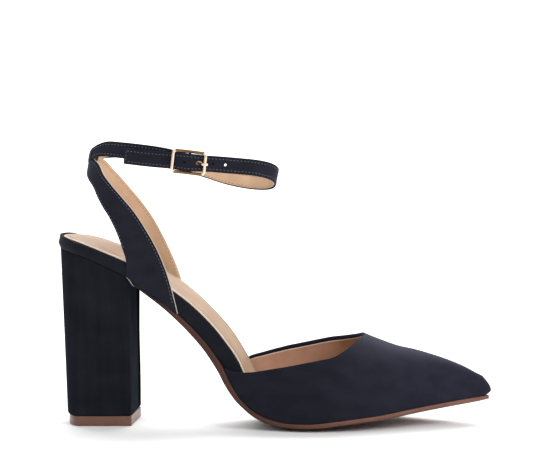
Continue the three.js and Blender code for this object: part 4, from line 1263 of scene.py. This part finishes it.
def add_buckle():
    """The bowed frame, its upper and lower bars coloured darker as painted shade and dark reflection, with
    the centre bar.
    """
    bow = lambda along: mix(BUCKLE_RISE, side_bar_out(), (along / HALF_BUCKLE) ** 2)
    half_long, half_high = HALF_BUCKLE, (BUCKLE_WIDTH - BUCKLE_BAR) / 2
    outline = []
    for corner, (sx, sy) in enumerate([(1, 1), (-1, 1), (-1, -1), (1, -1)]):
        for i in range(9):
            angle = (corner + i / 8) * pi / 2
            outline.append((sx * (half_long - BUCKLE_CORNER) + BUCKLE_CORNER * cos(angle),
                            sy * (half_high - BUCKLE_CORNER) + BUCKLE_CORNER * sin(angle)))
        if sx == sy:
            outline += [(sx * mix(0.8, -0.8, k / 12) * half_long, sy * half_high) for k in range(13)]
        else:
            outline += [(sx * half_long, sy * mix(0.6, -0.6, k / 4) * half_high) for k in range(5)]
    count = len(outline)
    place = lambda p: at_buckle(p[0], bow(p[0]), p[1])
    outward = at_buckle(0, 1, 0) - at_buckle(0, 0, 0)
    points, sides = [], 16
    for i, p in enumerate(outline):
        along = (place(outline[(i + 1) % count]) - place(outline[i - 1])).normalized()
        across = along.cross(outward).normalized()
        rise = across.cross(along).normalized()
        for angle in round_angles(sides, 0.5):
            c, s = squared(angle, 3.2)
            points.append(place(p) + across * (BUCKLE_GIRTH / 2 * c) + rise * (BUCKLE_GIRTH / 2 * s))
    faces = tube_faces(count, sides, True)
    # Painted shade: the upper and lower bars, away from their corners, take the dark bronze
    shaded_bar = [1 if abs(p[1]) > half_high - 0.35 and abs(p[0]) < half_long - 0.9 else 0 for p in outline]
    indices = [shaded_bar[i] and shaded_bar[(i + 1) % count] for i in range(count) for _ in range(sides)]
    start, levels, radius = len(points), 24, CENTRE_BAR / 2
    for k in range(levels + 1):
        share = 2 * k / levels - 1
        lift = mix(BUCKLE_LIFT, BUCKLE_RISE, smooth(abs(share), 0.72, 1))
        points += [at_buckle(radius * cos(angle), lift + radius * sin(angle), share * half_high)
                   for angle in round_angles(sides)]
    faces += tube_faces(levels + 1, sides, False, start)
    indices += [0] * (len(faces) - len(indices))
    new_piece("buckle_frame", points, faces, [GOLD, BRONZE_PAINTED_SHADE], "buckle", indices)


def add_prong():
    """The prong: its eye round the centre bar, then a curve through its knots to the side bar."""
    eye_start, eye_turn, eye_steps, knot_steps, tip_steps = -60, 210, 14, 6, 5
    line = []
    for i in range(eye_steps + 1):
        angle = radians(eye_start - i / eye_steps * eye_turn)
        line.append((FOLD_RADIUS * cos(angle), BUCKLE_LIFT + FOLD_RADIUS * sin(angle)))
    rest = side_bar_out() + BUCKLE_BAR / 2 + GAP + PRONG_THICK / 2
    pin = [(2.2, BUCKLE_LIFT + 1.05), (PRONG_HOLE - 1.45, BUCKLE_LIFT + 0.75),
           (PRONG_HOLE + 1.15, rest - 1.6), (PRONG_HOLE + 2.1, rest - 0.55), (HALF_BUCKLE, rest),
           (HALF_BUCKLE + 1.8, rest - 0.15)]
    knots = [Vector(p) for p in [line[-1]] + pin]
    for i, (a, b) in enumerate(zip(knots, knots[1:])):
        before, after = knots[max(i - 1, 0)], knots[min(i + 2, len(knots) - 1)]
        line += [tuple(hermite(a, b, (b - before) / 2, (after - a) / 2, k / knot_steps))
                 for k in range(1, knot_steps + 1)]
    spots = [at_buckle(along, out, 0) for along, out in line]
    up = at_buckle(0, 0, 1) - at_buckle(0, 0, 0)
    points, sides = [], 12
    for i, spot in enumerate(spots):
        along = (spots[min(i + 1, len(spots) - 1)] - spots[max(i - 1, 0)]).normalized()
        thick = along.cross(up).normalized()
        girth = quarter(min(1, (len(spots) - 0.6 - i) / tip_steps))
        for angle in round_angles(sides):
            c, s = squared(angle, 3)
            points.append(spot + thick * (PRONG_THICK / 2 * c * girth) + up * (PRONG_WIDTH / 2 * s * girth))
    new_piece("buckle_prong", points, tube_faces(len(spots), sides), [GOLD], "prong")


add_outsole()
add_board()
add_insole()
add_heel()
add_top_piece()
add_vamp()
add_straps()
add_back_loop()
add_foot_gather()
add_buckle()
add_prong()
